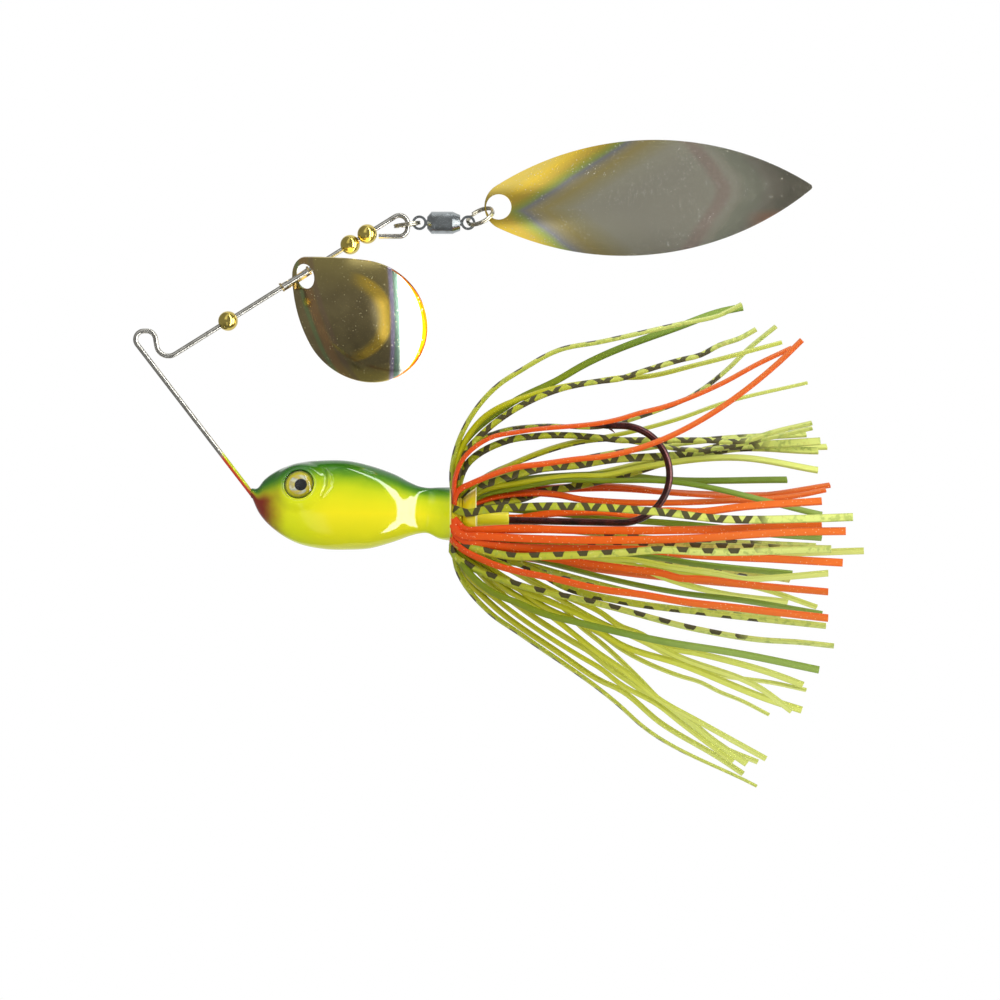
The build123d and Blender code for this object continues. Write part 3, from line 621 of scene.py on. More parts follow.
def head(finish):
    """The cast head: a smooth body with gill edges and a seat round each eye."""
    stations = np.array(HEAD_STATIONS) * (HEAD_LENGTH, HEAD_HEIGHT, HEAD_HEIGHT, HEAD_WIDTH)
    table = smooth_run(stations, HEAD_ROWS)
    nose = table[0]
    cap = [
        (-NOSE_CAP * math.sin(t), nose[1], nose[2] * math.cos(t), nose[3] * math.cos(t))
        for t in np.radians(NOSE_CAP_ANGLES)
    ]
    table = np.array([*cap, *table, table[-1] + HEAD_LIP])
    angles = np.arange(HEAD_AROUND) / HEAD_AROUND * 2 * math.pi
    rings = np.empty((len(table), HEAD_AROUND, 3))
    rings[:, :, 0] = (NOSE[0] + table[:, 0])[:, None]
    rings[:, :, 1] = table[:, 3:4] * np.cos(angles)
    rings[:, :, 2] = NOSE[2] + table[:, 1:2] + table[:, 2:3] * np.sin(angles)
    out = np.stack([
        np.zeros((len(table), HEAD_AROUND)),
        np.cos(angles) / table[:, 3:4],
        np.sin(angles) / table[:, 2:3],
    ], axis=2)
    out = (out / np.linalg.norm(out, axis=2, keepdims=True)).reshape(-1, 3)
    points, faces = rings_to_skin(rings)
    along = np.repeat(np.clip(table[:, 0] / HEAD_LENGTH, 0, 1), HEAD_AROUND)
    height = np.tile(np.sin(angles), len(table))
    flank = eased((np.abs(out[:, 1]) - 0.25) / 0.3)
    points = points + out * (gill_relief(points) * flank)[:, None]
    for side in (-1, 1):
        centre, normal = eye_axes(side)
        apart = points - centre
        rise = apart @ normal
        flat = apart - np.outer(rise, normal)
        reach = np.linalg.norm(flat, axis=1)
        near = (reach < SEAT_BLEND) & (points[:, 1] * side > 0)
        seat = np.where(reach < EYE_RADIUS + 0.12, -EYE_RECESS - SEAT_LEVEL, SEAT_LEVEL)
        share = eased((reach - SEAT_LIP) / (SEAT_BLEND - SEAT_LIP))
        level = np.where(reach < SEAT_LIP, seat, SEAT_LEVEL + (rise - SEAT_LEVEL) * share)
        points[near] += np.outer(level - rise, normal)[near]
        bead = ring_of(centre + normal * SEAT_LEVEL, normal, SEAT_RING, SEAT_BEAD)
        ring_points, ring_faces = rings_to_skin(bead, ends=False, loop=True)
        faces = faces + [tuple(np.array(face) + len(points)) for face in ring_faces]
        points = np.concatenate([points, ring_points])
        back = (ring_points - NOSE)[:, 0] / HEAD_LENGTH
        middle, tall = (
            np.interp(back, stations[:, 0] / HEAD_LENGTH, stations[:, column]) for column in (1, 2)
        )
        along = np.concatenate([along, back])
        height = np.concatenate([height, ((ring_points - NOSE)[:, 2] - middle) / tall])
    return piece(
        "painted_head", points, faces, finish, "lure", ["head_casting"],
        {"along": along, "height": height}, crease=50,
    )


def ring_of(centre, axis, radius, tube, around=96, section=12):
    """Rings of a round ring, one for each step along its round section."""
    angles = np.arange(section) / section * 2 * math.pi
    profile = [(tube * math.sin(a), radius + tube * math.cos(a)) for a in angles]
    return turned(profile, centre, axis, around)


def keeper(finish):
    """The skirt keeper behind the head: core, flared collar and thin sleeve."""
    profile = [
        (-0.2, 0.3), (-0.2, 1.9), (1.9, 1.9), (1.95, 3.2), (2.1, 3.5), (2.7, 4.15),
        (3.4, 4.72), (4.02, 5.16), (4.1, 5.26), (4.2, 5.3), (4.28, 5.26), (4.3, 5.18),
        (4.3, 1.4), (4.36, 1.24), (9.5, 1.2), (9.66, 1.14), (9.7, 1.0), (9.7, 0.72),
    ]
    points, faces = rings_to_skin(turned(profile, KEEPER, (1, 0, 0), 128))
    return piece("skirt_keeper", points, faces, finish, "lure", ["head_casting"])


def keeper_paint():
    """Plain yellow over the keeper, with a painted highlight: pale on the rim of its collar."""
    finish = Finish("keeper_paint", Roughness=0.4, Coat_Weight=0.8, Coat_Roughness=0.08)
    back = finish.axes()[0] - KEEPER[0]
    body = finish.grain(1.6).ramp((0.3, 226, 208, 14), (0.7, 238, 222, 24))
    body = body.under((236, 228, 30), back.fade(4.4, 5.0))
    # Painted highlight: a pale cream line round the rim of the collar.
    finish.coat({"Base Color": body.under((244, 240, 170), back.strip(4.05, 4.2, 4.35, 4.5))})
    return finish


def band(finish):
    """The rubber band that grips the strands, with three soft ribs."""
    profile = [
        (0.06, 1.95), (0.06, 3.1), (0.14, 3.4), (0.32, 3.52), (0.52, 3.5), (0.66, 3.38),
        (0.8, 3.5), (1.0, 3.55), (1.2, 3.5), (1.34, 3.38), (1.48, 3.5), (1.68, 3.52),
        (1.82, 3.38), (1.9, 3.1), (1.9, 1.95),
    ]
    points, faces = rings_to_skin(turned(profile, KEEPER, (1, 0, 0)), ends=False, loop=True)
    return piece(
        "rubber_band", points, faces, finish, "lure", ["skirt_band"], crease=70
    )


def band_rubber():
    """Matt yellow rubber."""
    finish = Finish("band_rubber", Roughness=0.6)
    shade = finish.grain(0.8).ramp((0.3, 200, 186, 14), (0.7, 220, 204, 22))
    finish.coat({"Base Color": shade})
    finish.bumps(finish.grain(0.25), 0.04)
    return finish


# ---------------------------------------------------------------- eyes

def foil():
    """Printed foil: a dark pupil, a silver iris with oily colours, and a gold edge."""
    finish = Finish("eye_foil", Specular_IOR_Level=0.05)
    reach, turn = finish.drawn("reach"), finish.drawn("turn")
    oil = ((turn * 2 + reach + finish.grain(0.5, 3.0) * 0.7) % 1.0).ramp(
        (0.0, 226, 206, 120), (0.2, 255, 250, 210), (0.4, 214, 222, 210),
        (0.55, 240, 212, 112), (0.75, 246, 226, 84), (1.0, 226, 214, 150),
    )
    face = oil.under((244, 226, 50), reach.fade(0.64, 0.74))
    face = face.under((186, 190, 50), reach.fade(0.84, 0.9))
    face = face.under((60, 72, 24), reach.fade(0.95, 0.98))
    dark = finish.drawn("pupil").fade(0.445, 0.405)
    finish.coat({
        "Base Color": face.under((4, 5, 8), dark),
        "Metallic": (1 - dark) * reach.fade(0.96, 0.9) * 0.3,
        "Roughness": 0.28 + dark * 0.1,
    })
    return finish


def clear_resin():
    """A clear dome: light goes straight through, and its skin shines."""
    finish = Finish("eye_clear", Roughness=0.03, Base_Color=WHITE)
    through = finish.node("ShaderNodeBsdfTransparent", (), {"Color": (0.97, 0.98, 0.99, 1.0)})
    skin = {"Color": (0.5, 0.5, 0.52, 1.0), "Roughness": 0.05}
    shine = finish.node("ShaderNodeBsdfGlossy", (), skin)
    edge = finish.node("ShaderNodeFresnel", (), {"IOR": 1.5})
    finish.show(finish.node("ShaderNodeMixShader", (), {0: edge, 1: through, 2: shine}))
    return finish


def eye(side, name, foil_finish, clear_finish):
    """The printed disc and the clear dome of one eye."""
    centre, out = eye_axes(side)
    level = np.cross((0.0, 0.0, 1.0), out)
    level = level / np.linalg.norm(level)
    up = np.cross(out, level)
    reaches = np.array([0.0, *np.linspace(0.06, 1, 22)])
    angles = np.arange(EYE_AROUND) / EYE_AROUND * 2 * math.pi
    spread = np.repeat(reaches[1:], EYE_AROUND)
    around = np.tile(angles, len(reaches) - 1)
    flat = np.outer(spread * np.cos(around), level) + np.outer(spread * np.sin(around), up)
    crown = EYE_CROWN * (1 - spread**2)
    base = centre - out * EYE_RECESS
    top = base + flat * EYE_RADIUS + np.outer(EYE_DISC + crown - 0.1, out)
    foot = base + flat[-EYE_AROUND:] * EYE_RADIUS
    points, faces = rings_to_skin([*top.reshape(-1, EYE_AROUND, 3), foot])
    steps = np.tile(angles, len(reaches)) / (2 * math.pi)
    reach = np.concatenate([spread, np.full(EYE_AROUND, 1.02)])
    apart = (points - (centre + (PUPIL_SHIFT, 0, -0.06))) / EYE_RADIUS
    apart = apart - np.outer(apart @ out, out)
    piece(
        f"{name}_foil", points, faces, foil_finish, "lure", [f"{name}_disc"],
        {"reach": reach, "turn": np.abs(steps * 2 - 1), "pupil": np.linalg.norm(apart, axis=1)},
    )
    wide = EYE_RADIUS - 0.05
    ball = (wide**2 + EYE_DOME**2) / (2 * EYE_DOME)
    foot = EYE_DISC - EYE_RECESS + 0.03
    spans = np.linspace(0.03, 1, 18) * math.asin(wide / ball)
    arc = [(foot + EYE_DOME - ball * (1 - math.cos(t)), ball * math.sin(t)) for t in spans]
    arc.append((foot - 0.01, wide - 0.05))
    points, faces = rings_to_skin(turned(arc, centre, out, EYE_AROUND))
    piece(f"{name}_cap", points, faces, clear_finish, "lure", [f"{name}_dome"])


# ---------------------------------------------------------------- blades

def tapered_outline(front, front_radius, back, back_radius, side_radius, count=400):
    """Points evenly round two end arcs, which sit front and back, and two long side arcs."""
    to_front, to_back = side_radius - front_radius, side_radius - back_radius
    middle = (to_front**2 - to_back**2 + back**2 - front**2) / (2 * (back - front))
    drop = math.sqrt(to_front**2 - (middle - front) ** 2)
    at_front = math.atan2(drop, front - middle)
    at_back = math.atan2(drop, back - middle)
    runs = [
        (middle, -drop, side_radius, at_front, at_back),
        (back, 0, back_radius, at_back, -at_back),
        (middle, drop, side_radius, -at_back, -at_front),
        (front, 0, front_radius, -at_front, at_front - 2 * math.pi),
    ]
    points = []
    for x, y, radius, start, end in runs:
        for angle in np.linspace(start, end, 200)[:-1]:
            points.append((x + radius * math.cos(angle), y + radius * math.sin(angle)))
    points = np.array([*points, points[0]])
    along = np.concatenate([[0], np.cumsum(np.linalg.norm(np.diff(points, axis=0), axis=1))])
    wanted = np.arange(count) / count * along[-1]
    return np.stack([np.interp(wanted, along, points[:, k]) for k in (0, 1)], axis=1)


def blade(name, node, finish, outline, hole, middle, domes, thickness, origin, aim, tilt):
    """A blade pressed from sheet: domed both ways, with soft edges round it and its hole."""
    dome, cross_dome = domes
    reach = np.linalg.norm(outline, axis=1, keepdims=True)
    around = outline / reach * hole / 2

    def lift(flat):
        spine = cross_dome - dome + np.sqrt(dome**2 - (flat[:, 0] - middle) ** 2)
        rise = np.sqrt(spine**2 - flat[:, 1] ** 2) - cross_dome
        return rise + dome - math.sqrt(dome**2 - middle**2)

    soft = thickness * BLADE_EDGE
    trim = outline / reach * soft * BLADE_EDGE
    rings, flats, spread = [], [], []
    shares = np.concatenate([[0.0, 0.012], np.linspace(0.03, 0.975, BLADE_ROWS), [0.99, 1.0]])
    for drop, order in ((0.0, shares), (thickness, shares[::-1])):
        for share in order:
            flat = around * (1 - share) + outline * share
            edge = share in (0.0, 1.0)
            wall = flat
            if edge:
                flat = flat + (trim if share == 0.0 else -trim)
            rings.append(np.column_stack([flat, lift(flat) - drop]))
            flats.append(flat)
            spread.append(np.full(len(flat), share))
            if edge:
                sunk = soft if drop == 0.0 else thickness - soft
                wall_ring = np.column_stack([wall, lift(flat) - sunk])
                if (drop == 0.0) == (share == 1.0):
                    rings.append(wall_ring)
                    flats.append(wall)
                else:
                    rings.insert(-1, wall_ring)
                    flats.insert(-1, wall)
                spread.append(np.full(len(flat), share))
    points, faces = rings_to_skin(rings, ends=False, loop=True)
    flats, spread = np.concatenate(flats), np.concatenate(spread)
    x, y, z = points.T
    slope = math.radians(tilt)
    y, z = y * math.cos(slope) - z * math.sin(slope), y * math.sin(slope) + z * math.cos(slope)
    aim = math.radians(aim)
    points = np.array(origin) + np.stack([
        x * math.cos(aim) - y * math.sin(aim), -z, x * math.sin(aim) + y * math.cos(aim)
    ], axis=1)
    return piece(
        name, points, faces, finish, name, [node],
        {"run": flats[:, 0], "side": flats[:, 1], "share": spread}, crease=55,
    )


def gold_plate():
    """Mirror gold, with the oily bands that thin lacquer leaves, fine dust, and painted
    reflections: lighter gold at the top and bottom, and near-white over the crescent.
    """
    finish = Finish("blade_gold", Metallic=1.0)
    run, side, share = finish.drawn("run"), finish.drawn("side"), finish.drawn("share")
    wave = finish.grain(6.0) - 0.5
    level = run * 0.817 + side * 0.51
    upright = side * 0.72 - run * 0.577

    def circle(off, drop):
        return (off * off + drop * drop).root()

    arc = circle(level - 7.0, (upright + 6.0) * 1.17) + wave * 0.6
    edge = circle(level + 13.5, (upright + 8.0) * 0.86) - 30.0
    slant = level * 0.92 + upright * 0.38 + wave * 0.5
    mint = edge.fade(-0.8, -0.4)
    rim = (share + (level - 17.5) * 0.008).fade(0.968, 0.985) * mint
    dust = finish.specks(0.5, 0.3) * finish.grain(2.0).fade(0.46, 0.6) * 0.7
    gold = finish.grain(3.0, 3.0).ramp((0.35, 146, 132, 94), (0.7, 164, 150, 106))
    for colour, amount in (
        # Painted reflection: lighter gold over the top and along the bottom edge.
        ((196, 180, 112), upright.fade(-3.0, 4.0) * 0.8),
        ((206, 188, 100), upright.fade(-13.0, -16.0) * 0.8),
        ((246, 208, 84), arc.strip(5.8, 7.6, 8.2, 8.9) * level.fade(7.5, 11.5) * 0.9),
        ((140, 168, 116), slant.strip(-1.9, -1.3, -1.0, -0.6) * 0.6),
        ((184, 138, 96), slant.strip(-0.9, -0.2, 0.6, 1.5) * 0.55),
        ((160, 132, 112), slant.strip(0.9, 1.5, 1.8, 2.4) * 0.5),
        ((186, 178, 210), edge.strip(-1.5, -1.0, -0.7, -0.3) * 0.8),
        ((132, 162, 142), mint),
        # Painted reflection: near-white over the crescent, which the near softbox also lights for
        # real.
        ((236, 240, 226), edge.fade(0.0, 0.5)),
        ((250, 128, 4), rim),
        ((150, 72, 4), rim * share.fade(0.974, 0.988)),
        ((250, 240, 190), dust),
    ):
        gold = gold.under(colour, amount)
    rough = 0.12 + finish.grain(0.5, 3.0) * 0.06 + dust * 0.3
    finish.coat({"Base Color": gold, "Roughness": rough})
    finish.bumps(finish.grain(0.35, 4.0), 0.005)
    return finish


def nickel_plate():
    """Mirror nickel with a gold and rainbow sheen at the hole end, fine scratches, and painted
    shade darkening the tip.
    """
    finish = Finish("blade_nickel", Metallic=1.0)
    run, side = finish.drawn("run"), finish.drawn("side")
    wave = finish.grain(7.0) - 0.5
    over, under = (side + 0.9).most(0.0), (0 - side - 0.9).most(0.0)
    vee = run - over * 1.75 - under * 1.1 + wave * 1.4
    off = side - 0.6
    tail = run + (off * off + 3.0).root() * 0.8 + wave * 1.6
    stretched = finish.node("ShaderNodeMapping", (), {
        "Vector": finish.place(), "Rotation": (0.0, 0.9, 0.0), "Scale": (8.0, 1.0, 0.6),
    })
    worn = finish.grain(9.0).fade(0.46, 0.6) * run.fade(14.0, 26.0)
    scratch = finish.grain(0.5, 2.0, stretched).fade(0.66, 0.73) * worn
    dust = finish.specks(0.5, 0.3) * finish.grain(3.0).fade(0.44, 0.58)
    marks = (scratch * 0.7).most(dust * 0.6)
    metal = (vee * 0.04 + 0.2).ramp(
        (0.00, 222, 196, 96), (0.10, 246, 210, 80), (0.20, 238, 206, 92), (0.26, 214, 206, 96),
        (0.31, 190, 204, 120), (0.36, 178, 178, 176), (0.43, 206, 194, 152), (0.50, 214, 198, 136),
        (0.62, 214, 206, 164), (0.75, 216, 212, 188), (1.00, 212, 208, 188),
    )
    for colour, amount in (
        ((200, 156, 150), tail.strip(37.0, 38.5, 39.5, 41.0) * 0.3),
        ((158, 176, 146), tail.strip(41.0, 43.0, 45.0, 47.0) * 0.3),
        # Painted shade: the tip darker.
        ((120, 116, 102), tail.fade(40.0, 52.0) * 0.95),
        ((196, 140, 110), side.fade(-3.0, -4.6) * run.fade(40.0, 45.0) * 0.5),
        ((252, 248, 236), marks),
    ):
        metal = metal.under(colour, amount)
    rough = 0.1 + finish.grain(0.4, 4.0) * 0.08 + marks * 0.3
    finish.coat({"Base Color": metal, "Roughness": rough})
    finish.bumps(finish.grain(0.3, 4.0) + scratch * 0.15, 0.004)
    return finish


# ---------------------------------------------------------------- split rings and metal

def split_ring(name, body, node, finish, centre, aim, lean, radius):
    """Two flattened turns of wire with a step where one passes over the other."""
    aim, lean = math.radians(aim), math.radians(lean)
    out = np.array([math.cos(aim), 0.0, math.sin(aim)])
    normal = np.array([-out[2] * math.sin(lean), -math.cos(lean), out[0] * math.sin(lean)])
    other = np.cross(normal, out)
    turns = np.linspace(RING_END, 4 * math.pi - RING_END, 150)
    layer = RING_WIRE / 2 * (2 * eased((turns - 2 * math.pi) / (2 * RING_END) + 0.5) - 1)
    spin = turns + RING_START
    away = np.outer(np.cos(spin), out) + np.outer(np.sin(spin), other)
    run = np.array(centre) + away * radius + np.outer(layer, normal)
    sizes = (RING_WIRE * 0.97, RING_BREADTH, 0.1)
    return strips(name, [run], [away], sizes, finish, body, node, {})


def steel(name, colour, dark, roughness):
    """Bright metal with drawn streaks and a little tarnish."""
    finish = Finish(name, Metallic=1.0)
    fine = finish.grain(0.12, 2.0)
    tarnish = finish.grain(1.2, 3.0).fade(0.45, 0.75) * 0.5
    finish.coat({
        "Base Color": finish.over(tint(*colour), tint(*dark), tarnish),
        "Roughness": roughness + fine * 0.12,
    })
    finish.bumps(fine, 0.004)
    return finish


def frame_wire():
    """Drawn spring wire, painted over its last stretch down to the head."""
    finish = steel("wire_steel", (190, 188, 180), (120, 116, 104), 0.2)
    metal = Level(finish, finish.shader.inputs["Base Color"].links[0].from_socket)
    x, _, z = finish.axes()
    ahead, above = NOSE[0] - x, z - NOSE[2]
    down = ahead * math.cos(LEG) - above * math.sin(LEG)
    aside = ahead * math.sin(LEG) + above * math.cos(LEG)
    ragged = down + (finish.grain(0.8) - 0.5) * 2
    covered = ragged.fade(9.2, 7.4) * z.fade(-15.0, -15.5)
    colour = finish.over(tint(196, 60, 26), tint(196, 208, 20), aside.fade(-0.06, 0.1))
    colour = colour.under((178, 46, 22), down.fade(2.2, 0.4) * 0.7)
    finish.coat({
        "Base Color": finish.over(metal, colour, covered),
        "Metallic": 1 - covered,
        "Roughness": 0.24 + covered * 0.1,
    })
    return finish


def hook_plating():
    """Dark bronze plating that turns brown-red where it is thin."""
    finish = Finish("hook_finish", Metallic=1.0, Coat_Weight=0.5, Coat_Roughness=0.1)
    patch = finish.grain(2.0, 3.0)
    finish.coat({
        "Base Color": patch.ramp((0.3, 50, 32, 32), (0.58, 92, 44, 42), (0.75, 62, 46, 46)),
        "Roughness": 0.22 + finish.grain(0.3) * 0.15,
    })
    return finish


# ---------------------------------------------------------------- skirt

def silicone(name, tones, painted_shade_colour):
    """Soft translucent strand, with painted shade: paler at its tip, darker at its root and along
    both edges.
    """
    finish = Finish(name, Roughness=0.45, Specular_IOR_Level=0.22)
    along, batch = finish.drawn("along"), finish.drawn("batch")
    cloud = finish.grain(2.2) - 0.5
    # Painted shade: the tones run from a dark root to a pale tip, with random tone by cloud and
    # batch.
    tone = (along.fade(2.0, 64.0) + cloud * 0.25 + (batch - 0.5) * 0.3).ramp(*tones)
    # Painted shade: darker still at the root and along both edges of the strand.
    tone = tone.under(painted_shade_colour, (along + cloud * 6).fade(9.0, 0.0) * 0.6)
    tone = tone.under(painted_shade_colour, abs(finish.drawn("across")).fade(0.3, 0.5) * 0.4)
    finish.bumps(finish.grain(0.3), 0.03)
    return finish, tone


def orange_silicone():
    """Orange silicone with pale flecks of glitter in it."""
    tones = (0.0, 232, 86, 14), (0.5, 244, 106, 20), (1.0, 246, 122, 48)
    finish, tone = silicone("strand_orange", tones, (206, 62, 22))
    flake = finish.specks(0.55, 0.26) * finish.grain(1.2).fade(0.36, 0.52)
    finish.coat({"Base Color": tone.under((255, 214, 160), flake * 0.9)})
    return finish


def plain_silicone(name, tones, painted_shade_colour, flakes):
    finish, tone = silicone(name, tones, painted_shade_colour)
    flake = finish.specks(0.4, 0.2) * finish.grain(1.3).fade(0.46, 0.6)
    finish.coat({"Base Color": tone.under(flakes, flake * 0.5)})
    return finish


def tiger_silicone():
    """Chartreuse with dark bars: slanted over the whole face, or blocks along one edge."""
    tones = (0.0, 172, 176, 30), (0.35, 198, 202, 62), (0.7, 216, 222, 104), (1.0, 230, 240, 136)
    finish, tone = silicone("strand_tiger", tones, (122, 132, 20))
    along, batch, across = finish.drawn("along"), finish.drawn("batch"), finish.drawn("across")
    step = (along / BAR_PITCH + batch * 9) % 1.0
    ragged = (finish.grain(0.3) - 0.5) * 0.05
    rising, falling = abs(step - 0.3 - across * 0.2), abs(step - 0.7 + across * 0.2)
    slanted = (rising.least(falling) + ragged).fade(0.155, 0.125)
    wave = abs(step * 2 - 1) * 2 - 1
    edge = across * batch.fade(0.4, 0.6, -1.0, 1.0) + 0.5
    blocks = (((wave - 0.05) * 1.6).least(0.62) - edge + ragged * 2).fade(-0.05, 0.05)
    whole = abs(batch - 0.5).fade(0.2, 0.1)
    bar = (slanted * whole).most(blocks * (1 - whole))
    bar = bar * (along + (finish.grain(2.2) - 0.5) * 3).fade(57.0, 53.0)
    tone = tone.under((140, 164, 70), finish.grain(1.1).fade(0.5, 0.66) * 0.5)
    tone = tone.under((222, 222, 120), finish.grain(0.7).fade(0.58, 0.7) * 0.5)
    finish.coat({"Base Color": tone.under((66, 58, 44), bar * 0.94)})
    return finish


def clear_of_collar(run, sign):
    """Push a strand out sideways wherever it would run through the flared collar."""
    back = run[:, 0] - KEEPER[0]
    wanted = np.interp(back, [0, 1.9, 2.8, 4.3, 4.4, 8.0], [3.5, 3.8, 4.9, 5.75, 5.75, 1.0])
    height = run[:, 2] - KEEPER[2]
    reach = np.sqrt(np.maximum(0, wanted**2 - height**2))
    wide = np.maximum(run[:, 1] * sign, reach * (back < 8))
    for _ in range(3):
        wide[1:-1] = (wide[:-2] + 2 * wide[1:-1] + wide[2:]) / 4
    return np.column_stack([run[:, 0], wide * sign, run[:, 2]])


def skirt(finishes):
    """The strands, each swept back from the band along its own line."""
    chance = np.random.default_rng(STRAND_SEED)
    groups = {letter: ([], [], [], []) for letter in finishes}
    for strand in STRANDS.split(";"):
        letter, lean, face, *pairs = strand.split()
        lean, face = float(lean), float(face)
        flat = np.array([[float(v) for v in pair.split(",")] for pair in pairs])
        gaps = np.linalg.norm(np.diff(flat, axis=0), axis=1)
        share = np.concatenate([[0], np.cumsum(gaps)]) / gaps.sum()
        sign = 1 if lean > 0 else -1
        below = flat[0, 1] - KEEPER[2]
        root = sign * math.sqrt(max(0.0, BAND_RADIUS**2 - below**2))
        tip_height = (flat[-1, 1] - KEEPER[2]) / SKIRT_REACH
        tip = lean * SKIRT_DEPTH * math.sqrt(max(0.1, 1 - tip_height**2))
        depth = root + (tip - root) * (1 - np.maximum(0, 1 - share) ** 1.5)
        run = smooth_run(np.column_stack([flat[:, 0], depth, flat[:, 1]]), STRAND_STEPS)
        run = clear_of_collar(run, sign)
        tangent = np.gradient(run, axis=0)
        tangent /= np.linalg.norm(tangent, axis=1, keepdims=True)
        left = np.array([0.0, -1.0, 0.0]) - tangent * -tangent[:, 1:2]
        left /= np.linalg.norm(left, axis=1, keepdims=True)
        rise = 1 if np.mean(run[:, 2]) > KEEPER[2] else -1
        drift = chance.uniform(-1, 1) * TWIST * np.linspace(-1, 1, STRAND_STEPS)
        twist = np.radians(face + drift)
        square = -rise * np.cross(tangent, left)
        facing = left * np.cos(twist)[:, None] + square * np.sin(twist)[:, None]
        length = np.concatenate([[0], np.cumsum(np.linalg.norm(np.diff(run, axis=0), axis=1))])
        batch = chance.uniform(0, 1)
        if letter == "Z":
            batch = chance.uniform(0.46, 0.54)
        elif letter == "T":
            batch = chance.choice([0.06, 0.1, 0.9, 0.94])
        runs, facings, alongs, batches = groups["T" if letter == "Z" else letter]
        runs.append(run)
        facings.append(facing)
        alongs.append(length)
        batches.append(np.full(STRAND_STEPS, batch))
    for letter, (finish, colour) in finishes.items():
        runs, facings, alongs, batches = groups[letter]
        strips(
            f"{colour}_strands", runs, facings, STRAND_SIZES, finish, "lure",
            f"skirt_{colour}_strands", {"along": alongs, "batch": batches},
        )


# ---------------------------------------------------------------- studio

def floor():
    """A pale floor that keeps the soft shadow, and is otherwise as white as the wall."""
    finish = Finish("pale_floor", Roughness=0.9, Base_Color=(0.9, 0.9, 0.9, 1.0))
    seen = finish.node("ShaderNodeLightPath", out="Is Camera Ray")
    lit = Level(finish, finish.shader.outputs[0])
    sockets = {0: seen * 0.7, 1: lit, 2: finish.glow(1.0)}
    finish.show(finish.node("ShaderNodeMixShader", (), sockets))
    points = [
        (FLOOR_MIDDLE + FLOOR_REACH * math.cos(a), FLOOR_REACH * math.sin(a), FLOOR_Z)
        for a in np.arange(FLOOR_SIDES) / FLOOR_SIDES * 2 * math.pi
    ]
    mesh = bpy.data.meshes.new("floor")
    mesh.from_pydata(points, [], [tuple(range(FLOOR_SIDES))])
    mesh.materials.append(finish.material)
    made = stand("floor", mesh)
    made.visible_glossy = False


def panel(name, finish, across, up, reach):
    """A piece of a sphere round the lure that only polished surfaces see."""
    finish.material.cycles.emission_sampling = "NONE"
    points, faces = [], []
    for lift in np.linspace(*np.radians(up), PANEL_STEPS):
        for turn in np.linspace(*np.radians(across), PANEL_STEPS):
            points.append((
                reach * math.cos(lift) * math.sin(turn),
                -reach * math.cos(lift) * math.cos(turn),
                reach * math.sin(lift),
            ))
    for row in range(PANEL_STEPS - 1):
        for step in range(PANEL_STEPS - 1):
            a = row * PANEL_STEPS + step
            faces.append((a, a + 1, a + PANEL_STEPS + 1, a + PANEL_STEPS))
    mesh = bpy.data.meshes.new(name)
    mesh.from_pydata(points, [], faces)
    mesh.materials.append(finish.material)
    made = stand(name, mesh)
    made.location = MIDDLE
    for ray in ("camera", "diffuse", "transmission", "volume_scatter", "shadow"):
        setattr(made, "visible_" + ray, False)
    return made


def room_angles(finish):
    """How far round and how far up a place on the room's shell lies, in degrees."""
    x, y, z = finish.axes()
    reach = (x * x + y * y + z * z).root()
    turn = finish.sum_of("ARCTAN2", x, 0 - y) * (180 / math.pi)
    return turn, finish.sum_of("ARCSINE", z / reach) * (180 / math.pi)


def dark_room():
    """The unlit side of the studio and the tall softbox that stands on its right."""
    finish = Finish("dark_room")
    turn, lift = room_angles(finish)
    grey = 0.33 + lift.fade(50.0, 80.0) * 0.1 - lift.fade(-15.0, -60.0) * 0.13
    haze = turn.strip(-50.0, -36.0, -17.0, -7.0) * lift.fade(12.0, 26.0)
    low = turn.strip(-26.0, -19.0, -13.0, -5.0) * lift.strip(-60.0, -45.0, -18.0, -8.0)
    haze = haze.most(low * 0.8)
    box = turn.strip(33.0, 35.0, 42.0, 43.5) * lift.fade(-58.0, -52.0)
    side_box = turn.strip(52.0, 56.0, 74.0, 78.0) * abs(lift).fade(30.0, 24.0)
    finish.show(finish.glow(grey + haze * 0.8 + box * BOX_LIGHT + side_box * SIDE_LIGHT))
    panel("dark_room", finish, (-150, 105), (-88, 88), ROOM_REACH)


def near_strip(lit):
    """A softbox close on the right, flagged so that only one blade catches it."""
    finish = Finish("near_strip")
    lift = room_angles(finish)[1]
    across = finish.axes()[0] * (MM / STRIP_REACH)
    box = across.fade(0.02, 0.08) * lift.fade(15.0, 13.0)
    clear = finish.node("ShaderNodeBsdfTransparent", (), {"Color": WHITE})
    sockets = {0: finish.glow(box * STRIP_LIGHT), 1: clear}
    finish.show(finish.node("ShaderNodeAddShader", (), sockets))
    made = panel("near_strip", finish, (-5, 178), (-89.5, 16), STRIP_REACH)
    only = bpy.data.collections.new("near_strip_falls_on")
    only.objects.link(lit)
    made.light_linking.receiver_collection = only


def wall():
    """A white wall all round, which lights the object more softly than it looks."""
    world = bpy.data.worlds.new("white_wall")
    bpy.context.scene.world = world
    world.use_nodes = True
    world.node_tree.nodes.clear()
    nodes = Nodes(world.node_tree)
    seen, mirrored, through = (
        nodes.node("ShaderNodeLightPath", out=f"Is {ray} Ray")
        for ray in ("Camera", "Glossy", "Transmission")
    )
    bright = nodes.node("ShaderNodeMapRange", (), {
        "Value": seen.most(mirrored).most(through), "To Min": WALL_LIGHT, "To Max": 1.0,
    })
    light = nodes.node("ShaderNodeBackground", (), {"Color": WHITE, "Strength": bright})
    nodes.feed(nodes.tree.nodes.new("ShaderNodeOutputWorld").inputs[0], light)


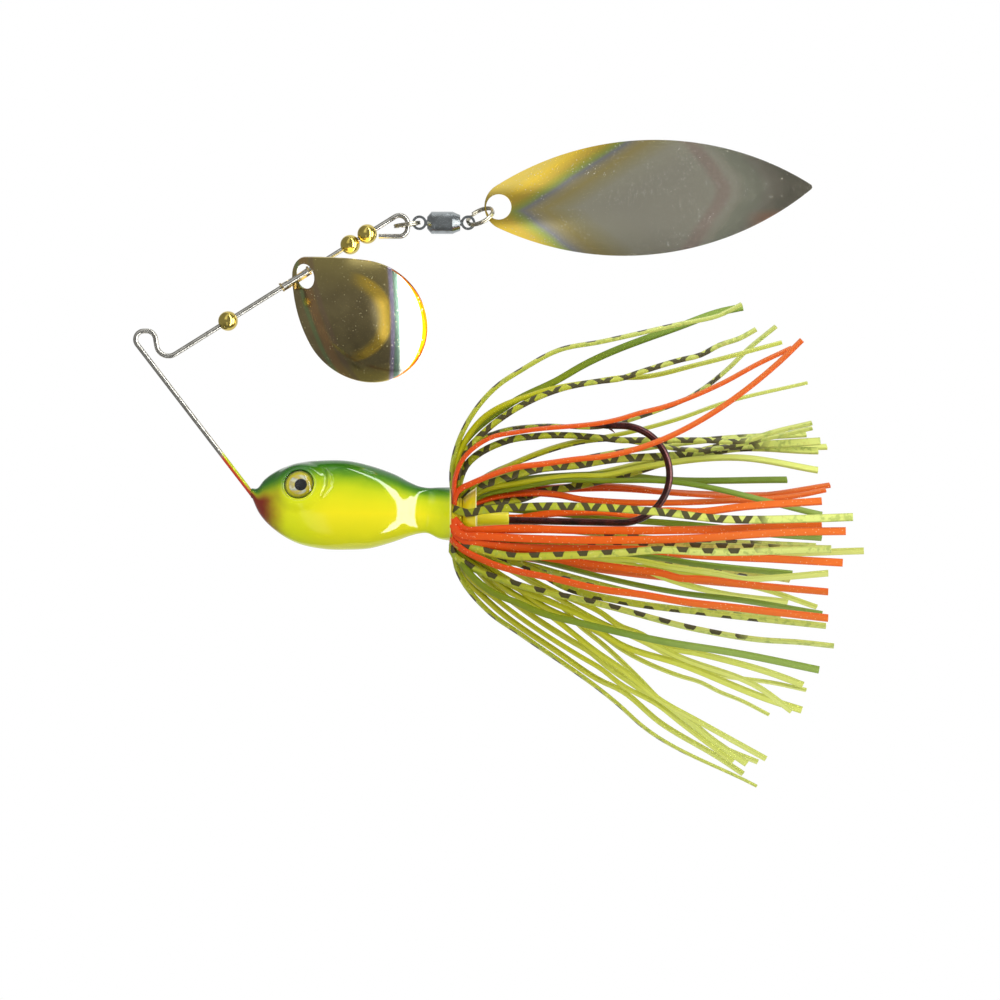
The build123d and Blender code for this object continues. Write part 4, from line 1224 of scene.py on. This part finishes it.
def lamp(name, place, power, size):
    """A round soft lamp aimed at the middle of the lure."""
    light = bpy.data.lights.new(name, "AREA")
    light.energy = power
    light.shape = "DISK"
    light.size = size
    made = stand(name, light)
    made.location = place
    made.rotation_mode = "QUATERNION"
    made.rotation_quaternion = (Vector(MIDDLE) - Vector(place)).to_track_quat("-Z", "Y")
    made.visible_glossy = False


def camera():
    """A long lens level with the lure, square to its left side."""
    lens = bpy.data.cameras.new("camera")
    lens.lens = SENSOR * CAMERA_REACH / VIEW_WIDTH
    lens.sensor_width = SENSOR
    lens.clip_start, lens.clip_end = 0.05, 20
    made = stand("camera", lens)
    made.location = (MIDDLE[0], -CAMERA_REACH, MIDDLE[2])
    made.rotation_euler = (math.pi / 2, 0, 0)
    bpy.context.scene.camera = made


camera()
wall()
floor()
dark_room()
lamp("key", (0.45, -0.55, 0.3), power=2.0, size=0.45)
lamp("fill", (-0.35, -0.6, 0.35), power=1.4, size=0.5)
bpy.context.scene.view_settings.view_transform = "Standard"

head(paint()).visible_glossy = False
keeper(keeper_paint())
band(band_rubber())
foil_finish, clear_finish = foil(), clear_resin()
for side, name in ((-1, "eye_left"), (1, "eye_right")):
    eye(side, name, foil_finish, clear_finish)

near_strip(blade(
    "round_blade", "colorado_blade", gold_plate(),
    tapered_outline(0.5, 3.2, 12.5, 10.9, 35.0), hole=3.8, middle=12.5, domes=(22.0, 20.0),
    thickness=0.42, origin=(26.403, -0.15, 10.265), aim=-35.2, tilt=28.0,
))
blade(
    "long_blade", "willow_blade", nickel_plate(),
    tapered_outline(1.629, 4.0, 51.947, 0.5, 49.513), hole=4.2, middle=23.5, domes=(150.0, 22.0),
    thickness=0.5, origin=(58.707, 0.0, 21.943), aim=3.7, tilt=0.0,
)

ring_finish = steel("ring_steel", (184, 180, 164), (110, 102, 74), 0.2)
split_ring(
    "ring_at_wire", "wire_ring", "wire_split_ring", ring_finish,
    centre=(43.461, 0.0, 18.993), aim=8.0, lean=90.0, radius=2.05,
)
split_ring(
    "ring_at_blade", "blade_ring", "blade_split_ring", ring_finish,
    centre=(55.649, 0.0, 20.344), aim=27.6, lean=63.0, radius=2.3,
)

dress(frame_wire(), "wire_frame")
dress(hook_plating(), "hook")
for name, colour, dark, roughness, nodes in (
    ("bead_brass", (208, 188, 100), (164, 142, 56), 0.08,
     ("bead_lower", "bead_middle", "bead_upper")),
    ("clevis_brass", (196, 176, 130), (110, 96, 70), 0.18, ("clevis",)),
    ("swivel_nickel", (160, 166, 168), (112, 114, 110), 0.13,
     ("swivel_barrel", "swivel_wire_stud", "swivel_blade_stud")),
    ("ball_steel", (200, 200, 200), (150, 150, 150), 0.1,
     ("swivel_wire_balls", "swivel_blade_balls")),
):
    dress(steel(name, colour, dark, roughness), *nodes)

skirt({
    "T": (tiger_silicone(), "tiger"),
    "O": (orange_silicone(), "orange"),
    "C": (plain_silicone(
        "strand_chartreuse",
        ((0.0, 186, 182, 14), (0.35, 212, 212, 44), (0.7, 230, 236, 96), (1.0, 242, 250, 140)),
        (120, 132, 12), (240, 244, 170),
    ), "chartreuse"),
    "G": (plain_silicone(
        "strand_green",
        ((0.0, 122, 134, 16), (0.35, 134, 150, 26), (0.7, 128, 156, 56), (1.0, 156, 182, 88)),
        (92, 116, 14), (176, 206, 130),
    ), "green"),
})
